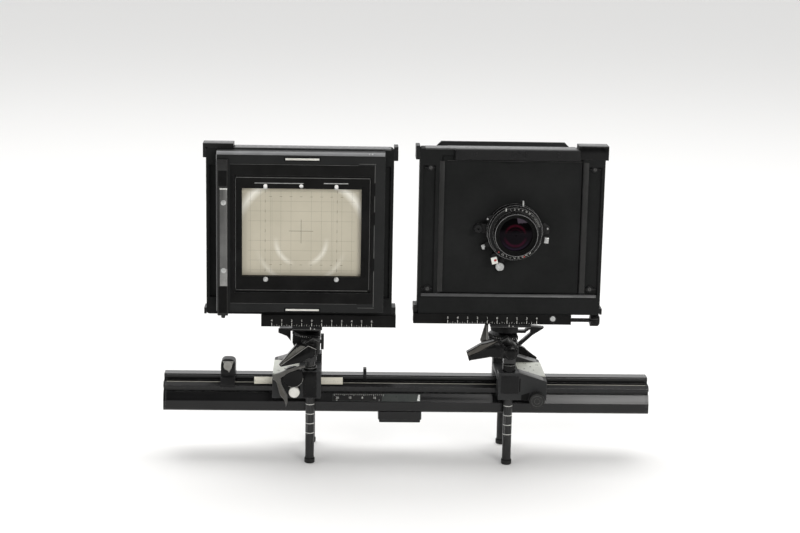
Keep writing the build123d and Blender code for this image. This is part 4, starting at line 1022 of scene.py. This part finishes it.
    # the long lever on the left edge
    plate = Piece("back_lever_plate", "back_lever", "brushed_plate", "back_lever")
    plate.block((-187.8, -50.05, 203.8), (-180.5, -49.3, 282.9), 0.15)
    plate.done()
    bright = Piece("back_lever_plate_ends", "back_lever", "plate_end", "back_lever")
    bright.block((-187.8, -50.1, 186.6), (-180.5, -49.3, 203.6), 0.15)
    bright.done()
    top = Piece("back_lever_line", "back_lever", "white_mark", "back_lever")
    top.block((-187.9, -50.15, 283.0), (-180.4, -49.4, 284.4), 0.1)
    top.done()
    bolts = Piece("back_lever_screws", "back_lever", "bright_metal", "back_lever")
    bolts.slotted_screw((-184.2, -50.0, 270), TOWARDS, 2.6, 0.35, 60)
    bolts.slotted_screw((-184.2, -50.0, 202.2), TOWARDS, 2.6, 0.35, 200)
    bolts.done()
    ends = Piece("back_lever_ends", "back_lever", "soft_plastic", "back_lever")
    for radius, low, tall in ((1.85, 302.5, 8.1), (1.45, 310.6, 1.8)):
        turns = [math.radians(90 + 22.5 * k) for k in range(9)]
        rim = [(-188.8 + radius * math.cos(a), -47.95 + radius * math.sin(a)) for a in turns]
        ends.prism(rim + [(-180.9, -47.95 - radius), (-179.6, -48.6), (-179.6, -47.2),
                          (-180.4, -47.95 + radius)], (0, 0, low), X, Y, tall, 0.3)
    ends.lathe((-184.8, -48, 153.9), Z, [(0, 0), (1.6, 0), (2.1, 0.8), (2.1, 2.8), (0, 2.8)],
               segments=32)
    ends.done()
    groove = Piece("back_lever_grooves", "back_lever", "light_trap", "back_lever")
    groove.block((-189.3, -49.65, 286.4), (-181.0, -49.5, 301.6), 0.1)
    groove.block((-189.3, -49.65, 159), (-181.0, -49.5, 185.8), 0.1)
    groove.done()


# ---- the two bases ----
def detail_base(side, x0, sign):
    """Fine parts of one base; sign is +1 for the front one and -1 for the rear one."""
    body = f"{side}_bearer"

    def spot(along, depth, height):
        return Vector((x0 + sign * along, sign * depth, height))

    def facing(points):
        """Outline given along the base, in the order that faces the viewer."""
        return [(x0 + sign * a, b) for a, b in (points if sign > 0 else points[::-1])]

    plate = Piece(f"{side}_plate_marks", body, "dark_mark", f"{side}_scale_plate")
    for k in range(11):
        at = spot(13.8, -22 + 4.4 * k, 90.93)
        length = 3.4 if k % 5 == 0 else 1.9
        plate.block(at - Vector((length / 2, 0.16, 0.03)), at + Vector((length / 2, 0.16, 0.03)))
    for words, along, depth in (("0", 18, -20), ("2", 22, -12), ("4", 28, -5), ("6", 19, 1),
                                ("8", 26, 8), ("10", 33, 15), ("12", 21, 20)):
        plate.text(words, spot(along, depth, 90.95), 3.6, X, Y)
    plate.done()
    trim = Piece(f"{side}_block_trim", body, "satin_black" if sign > 0 else "gloss_black",
                 f"{side}_bearer")
    near, far = -42.0, 42.35
    inset = facing([(-8.6, 76.4), (9.6, 76.4), (9.6, 95.2), (-8.6, 95.2)] if sign > 0 else
                   [(-6.6, 70.6), (7.2, 70.6), (7.2, 97.4), (-6.6, 97.4)])
    trim.prism(inset, (0, near + 0.05, 0), X, Z, 0.4, 0.15)
    trim.prism(inset, (0, far, 0), X, Z, 0.4, 0.15)
    trim.done()
    slit_and_shade = Piece(f"{side}_block_slits_and_shade", body, "light_trap", f"{side}_bearer")
    slit_and_shade.prism(facing([(10.1, 78.5), (11.2, 78.5), (11.2, 92.4), (10.1, 92.4)]),
               (0, near + 0.05, 0), X, Z, 0.12)
    # painted shadow: on the front base only, a dark patch beside the slit, where shade falls between
    # the slit and the knob
    if sign > 0:
        slit_and_shade.prism(facing([(12.5, 69.9), (19, 69.9), (21, 77.8), (12.5, 75)]),
                   (0, near + 0.05, 0), X, Z, 0.1)
    slit_and_shade.done()
    # painted highlights: thin light lines along the block's sloping top edges
    lip = Piece(f"{side}_block_lips", body, "painted_edge_highlight", f"{side}_bearer")
    for y in (-41.2, 26.8):
        lip.prism(facing([(10.2, 97.7), (37.6, 88.85), (37.6, 89.4), (10.2, 98.25)]),
                  (0, y, 0), X, Z, -14.2, 0.1)
    lip.done()
    tall = 8.6 if sign > 0 else 4.2
    collar = Piece(f"{side}_rod_collars", body, "gloss_black", f"{side}_bearer")
    for y in (34, -34):
        collar.lathe((x0, y, 98), Z, [(4.62, 0), (6.6, 0), (6.6, tall - 0.8), (6.0, tall),
                                      (4.62, tall)], segments=48)
    collar.done()
    # painted highlights: a light band round the top edge of each collar
    band = Piece(f"{side}_collar_lines", body, "painted_edge_highlight", f"{side}_bearer")
    for y in (34, -34):
        band.lathe((x0, y, 96.0 + tall), Z, [(6.5, 0), (6.72, 0.1), (6.72, 0.6), (6.5, 0.7)],
                   segments=48)
    band.done()
    # painted highlights: thin light rings on the focusing knob's face
    rings = Piece(f"{side}_knob_rings", f"{side}_focus_knob", "painted_edge_highlight", f"{side}_focus_knob")
    hub, out = spot(27.8, -50.4, 71), Vector((0, -sign, 0))
    for radius in (2.6, 5.2):
        rings.lathe(hub, out, [(radius, -0.3), (radius, 0.0), (radius + 0.35, 0.0),
                               (radius + 0.35, -0.3)], segments=48)
    rings.done()
    # raised facings over the tilt bearings, with the crowned tops seen from the side
    crowns = Piece(f"{side}_rod_crowns", f"{side}_rods", "gloss_black", f"{side}_rods")
    peak, shoulder = (133.2, 129.2) if sign > 0 else (130.6, 127.6)
    crown = facing([(-7.4, 113.6), (7.4, 113.0), (7.6, 123.2), (-2.4, peak), (-8.0, shoulder)])
    for y in (-39.2, 39.45):
        crowns.prism(crown, (0, y, 0), X, Z, 0.25, 0.1)
    crowns.done()
    # painted highlights along the crowns' ridges
    ridge = Piece(f"{side}_crown_lines", f"{side}_rods", "painted_edge_highlight", f"{side}_rods")
    for a, b, c, d in ((-8.6, peak - 3.0, -2.6, peak + 0.5), (-2.6, peak + 0.5, 8.2, 123.7)):
        for y in (-39.25, 39.45):
            ridge.prism(facing([(a, b), (c, d), (c, d + 0.35), (a, b + 0.35)]), (0, y, 0), X, Z,
                        0.2)
    ridge.done()
    caps = Piece(f"{side}_axle_caps", f"{side}_tilt_head", "satin_black", f"{side}_tilt_head")
    caps.lathe((x0, 39.0, 120), Y, [(0, 0), (3.8, 0), (3.8, 0.5), (3.0, 0.9), (0, 0.9)],
               segments=40)
    caps.done()
    ticks = Piece(f"{side}_disc_ticks", f"{side}_tilt_head", "white_mark", f"{side}_swing_disc")
    for k in range(-8, 9):
        angle = math.radians(-90 + 6.5 * k)
        radius = 18.97
        at = Vector((x0 + radius * math.cos(angle), radius * math.sin(angle), 127.2))
        if -18.5 < at.x - x0 < 9.5:
            ticks.block((-0.1, -0.13, -0.7), (0.1, 0.13, 0.9 if k % 2 == 0 else 0.2), 0,
                        Matrix.Translation(at) @ Matrix.Rotation(angle, 4, "Z"))
    ticks.done()
    index = Piece(f"{side}_shift_index", f"{side}_carriage", "white_mark",
                  f"{side}_shift_carriage")
    face, low = (-22, 140.2) if sign > 0 else (-32, 137.9)
    index.block((x0 - 0.3, face - 0.05, low + 0.7), (x0 + 0.3, face + 0.3, low + 2.9), 0)
    index.block((x0 + 3.4, face - 0.05, low + 0.9), (x0 + 4.6, face + 0.3, low + 1.5), 0)
    index.done()
    # painted highlight: a thin light line along the carriage's lower edge
    lines = Piece(f"{side}_carriage_lines", f"{side}_carriage", "painted_edge_highlight",
                  f"{side}_shift_carriage")
    left, right = (-18.8, 21.8) if sign > 0 else (-18.3, 11.3)
    lines.block((x0 + left, face - 0.06, low + 0.1), (x0 + right, face + 0.2, low + 0.55), 0.05)
    lines.done()
    rod_lines = Piece(f"{side}_rod_lines", f"{side}_rods", "grey_mark", f"{side}_rods")
    turn = Matrix.Rotation(math.radians(-38), 4, "Z")
    rod_lines.block((-0.12, -4.535, 30), (0.12, -4.42, 52), 0,
                    Matrix.Translation(Vector((x0, -34, 0))) @ turn)
    rod_lines.done()
    feet = Piece(f"{side}_foot_rings", f"{side}_rods", "light_trap", f"{side}_rod_feet")
    for y in (34, -34):
        feet.lathe((x0, y, 4.55), Z, [(4.45, 0), (5.2, 0), (4.9, 0.7), (4.45, 0.7)], segments=40)
    feet.done()


def detail_levers():
    """Facets and ribs of the levers, which catch the light along their edges; the lighter facets and
    edge lines are painted highlights.
    """
    # painted highlight: the lever's facet in a lighter finish
    facet = Piece("front_tilt_lever_facet", "front_tilt_lever", "painted_facet_light_shade", "front_tilt_lever")
    facet.prism([(58.4, 119.4), (60.2, 117.0), (70.2, 121.4), (88.6, 132.4), (71.8, 128.1)],
                (0, -45.75, 0), X, Z, 1.6, 0.25)
    facet.done()
    face = Piece("front_tilt_lever_face", "front_tilt_lever", "gloss_black", "front_tilt_lever")
    face.prism([(60.6, 116.7), (61.2, 112.2), (81.6, 116.6), (93, 114.6), (96.5, 121),
                (93, 127.5), (88.4, 131.6), (70.3, 121.0)], (0, -45.75, 0), X, Z, 2.3, 0.5)
    face.lathe((102, -45.8, 120), TOWARDS, [(0, 0), (7.0, 0), (7.0, 1.6), (5.6, 2.6), (0, 2.9)],
               segments=56)
    face.done()
    ribs = Piece("rear_tilt_lever_ribs", "rear_tilt_lever", "rib_grey", "rear_tilt_lever")
    ribs.prism([(-128.8, 105.2), (-127.4, 106.6), (-103.4, 124.6), (-108.3, 125.6),
                (-116.5, 119.2)], (0, -45.75, 0), X, Z, 1.5, 0.2)
    along = Vector((26.8, 0, 20)).normalized()
    across = Vector((-20, 0, 26.8)).normalized()
    for k in range(9):
        start = Vector((-124.6, -47.2, 109.2)) + along * (2.3 * k)
        reach = 1.2 + 0.4 * k
        turn = Matrix((along, Vector((0, 1, 0)), across)).transposed().to_4x4()
        ribs.block((-0.45, -0.55, 0), (0.45, 0.3, reach), 0.15, Matrix.Translation(start) @ turn)
    ribs.done()
    face = Piece("rear_tilt_lever_face", "rear_tilt_lever", "gloss_black", "rear_tilt_lever")
    face.prism([(-127.5, 105.8), (-127.0, 104.4), (-106.2, 109.2), (-101, 113.4), (-97, 113.2),
                (-93, 117), (-93, 122.8), (-100.4, 126.0)], (0, -45.75, 0), X, Z, 4.2, 0.6)
    face.done()
    # painted highlights: bright lines along the lever's upper edges
    edge = Piece("rear_tilt_lever_edge", "rear_tilt_lever", "painted_bright_edge", "rear_tilt_lever")
    edge.prism([(-127.4, 106.0), (-100.4, 126.1), (-100.5, 126.6), (-127.5, 106.5)],
               (0, -49.9, 0), X, Z, 0.25)
    edge.prism([(-100.4, 126.1), (-92.4, 122.6), (-92.4, 123.0), (-100.4, 126.6)],
               (0, -49.9, 0), X, Z, 0.25)
    edge.done()
    hub_along, hub_height = 16.9, 93.2
    for side, x0, sign in (("front", FRONT_BASE, 1), ("rear", REAR_BASE, -1)):
        # hub and bent arm of the clamp, in two colours
        hub_x, y = x0 + sign * hub_along, sign * 42.3
        out = Vector((0, sign, 0))
        hub = Piece(f"{side}_clamp_hub", f"{side}_clamp_lever", "gloss_black",
                    f"{side}_clamp_lever")
        hub.lathe((hub_x, y, hub_height), out, [(0, -6), (1.5, -6), (1.5, 0), (10.6, 0), (10.6, 5.4),
                                          (9.8, 6.4), (7.2, 6.9), (0, 7.1)], segments=72)
        hub.done()
        # painted highlight: a bright arc on part of the hub's rim
        rim = Piece(f"{side}_clamp_hub_line", f"{side}_clamp_lever", "painted_bright_edge",
                    f"{side}_clamp_lever")
        rim.lathe((hub_x, y, hub_height), out, [(9.75, 6.35), (10.15, 6.05), (10.35, 6.35),
                                          (9.95, 6.75)], segments=36,
                  sweep=110, start=-115 if sign < 0 else 40)
        rim.done()
        arm = Piece(f"{side}_clamp_arm", f"{side}_clamp_lever",
                    "gloss_black" if sign > 0 else "lever_grey", f"{side}_clamp_lever")
        outline = [(4.7, 105.7), (12.3, 104.8), (21.2, 102.0), (30.1, 98.2), (37.1, 95.8),
                   (37.1, 91.4), (33.1, 89.6), (33.0, 86.7), (29.9, 75.1), (24.6, 69.6),
                   (23.8, 62.8), (22.0, 68.2), (22.4, 75.2), (28.7, 85.8), (30.0, 93.2),
                   (21.2, 99.3), (11, 102.6), (4.7, 104)]
        tilt = math.radians(-16 if sign > 0 else 0)

        def turned(points):
            """Turns an outline about the hub and puts it on this base."""
            moved = []
            for a, b in points:
                a, b = a - hub_along, b - hub_height
                moved.append((x0 + sign * (hub_along + a * math.cos(tilt) - b * math.sin(tilt)),
                              hub_height + a * math.sin(tilt) + b * math.cos(tilt)))
            return moved[::-1]

        arm.prism(turned(outline), (0, y + sign * 5.1, 0), X, Z, -sign * 2.9, 0.55)
        arm = arm.done()
        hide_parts(f"{side}_clamp_lever")
        # painted light and shade: the arm's lower facet in another finish, lighter on the front arm,
        # darker on the rear
        shade = Piece(f"{side}_clamp_arm_facet", f"{side}_clamp_lever",
                      "satin_black" if sign > 0 else "painted_facet_light_shade", f"{side}_clamp_lever")
        lower = [(32.2, 87.5), (29.3, 76), (26.2, 71.6), (25.0, 76), (30.4, 86.2)]
        shade.prism(turned(lower), (0, y + sign * 7.95, 0), X, Z, -sign * 0.12)
        shade.done()
    fin = Piece("front_swing_lock_fin", "front_swing_lock", "fin_grey", "front_swing_lock")
    fin.prism([(80.0, 136.6), (82.2, 138.2), (82.5, 117.2), (81.2, 117.0)], (0, -1.45, 0), X, Z,
              0.9, 0.2)
    fin.done()
    for lever, points in (
            ("front_swing_lever", [(120.6, 134.2), (125.8, 137.3), (139.0, 136.0),
                                   (138.6, 135.2), (126.2, 136.3), (121.2, 133.4)]),
            ("rear_swing_lever", [(-131.4, 131.4), (-129.2, 132.5), (-118, 132.0),
                                  (-118, 131.4), (-129, 131.6)])):
        # painted light: a light strip along the top edge of each swing lever
        strip = Piece(f"{lever}_top", lever, "painted_edge_highlight", lever)
        strip.prism(points[::-1], (0, -2.55, 0), X, Z, 0.25)
        strip.done()


# ---- the rail ----
def detail_rail():
    clip = Piece("rail_clip", "rail", "satin_black", "rail")
    clip.prism([(-7.6, 76.8), (-7.0, 76.8), (-7.0, 84.6), (7.0, 84.6), (7.0, 76.8), (7.6, 76.8),
                (7.9, 85.4), (4.2, 90.2), (-4.2, 90.2), (-7.9, 85.4)], (-44.6, 0, 0), Y, Z, 3.2,
               0.2)
    clip.done()
    # painted highlight: a thin light line across the face of the rail's head
    lines = Piece("rail_edge_lines", "rail", "painted_edge_highlight", "rail")
    lines.block((-244.4, -7.12, 83.1), (244.4, -6.95, 83.4), 0.03)
    lines.done()
    # painted light: a pale tan strip on the ledge below the head, for the light on its top face
    shoulder = Piece("rail_shoulder_line", "rail", "painted_ledge_light", "rail")
    for low, high in ((-244.4, -155.8), (-65.4, 244.4)):
        shoulder.block((low, -15.3, 78.35), (high, -14.5, 78.72), 0.04)
    shoulder.done()
    # painted shade: a dark strip on the head's face where the neck under the head lies in shadow
    slot = Piece("rail_head_shade", "rail", "light_trap", "rail")
    slot.block((-244.4, -7.1, 79.0), (-155.8, -6.95, 80.6), 0.03)
    slot.block((-65.4, -7.1, 79.0), (244.4, -6.95, 80.6), 0.03)
    slot.done()
    facet = Piece("accessory_clamp_facet", "accessory_clamp", "fin_grey", "accessory_clamp")
    slant = Vector((0, 4.5, 8)).normalized()
    facet.prism([(-184.8, 0.2), (-179, 0.2), (-176.8, 6.9), (-188.2, 6.9)], (0, -10.45, 92), X,
                slant, 0.2, 0.05)
    facet.prism([(-184.8, 91.9), (-181.4, 87.0), (-179, 91.9)], (0, -10.45, 0), X, Z, 0.2, 0.05)
    facet.done()
    ends = Piece("rail_end_screws", "rail", "dull_steel", "rail_end_caps")
    for x, out in ((-247.4, -1), (247.4, 1)):
        for y in (-11, 11):
            ends.slotted_screw((x - out * 0.3, y, 58), (out, 0, 0), 2.2, 0.35, 30)
    ends.done()
    collar = Piece("tripod_thread_collar", "rail", "steel", "tripod_block")
    collar.lathe((-7, 0, 38.5), Z, [(4.85, 0.15), (8.2, 0.15), (8.2, 0), (7.8, -0.2),
                                    (4.85, -0.2)], segments=64)
    for k in range(6):
        height = 39.3 + 1.5 * k
        collar.lathe((-7, 0, height), Z, [(4.76, -0.35), (4.5, 0), (4.76, 0.35)], segments=48)
    collar.done()


finishes = make_finishes()
aim_camera()
build_studio()
dress_nodes()
engrave_scales()
detail_lens()
detail_front_standard()
pleated_bellows()
detail_back()
detail_base("front", FRONT_BASE, 1)
detail_base("rear", REAR_BASE, -1)
detail_levers()
detail_rail()
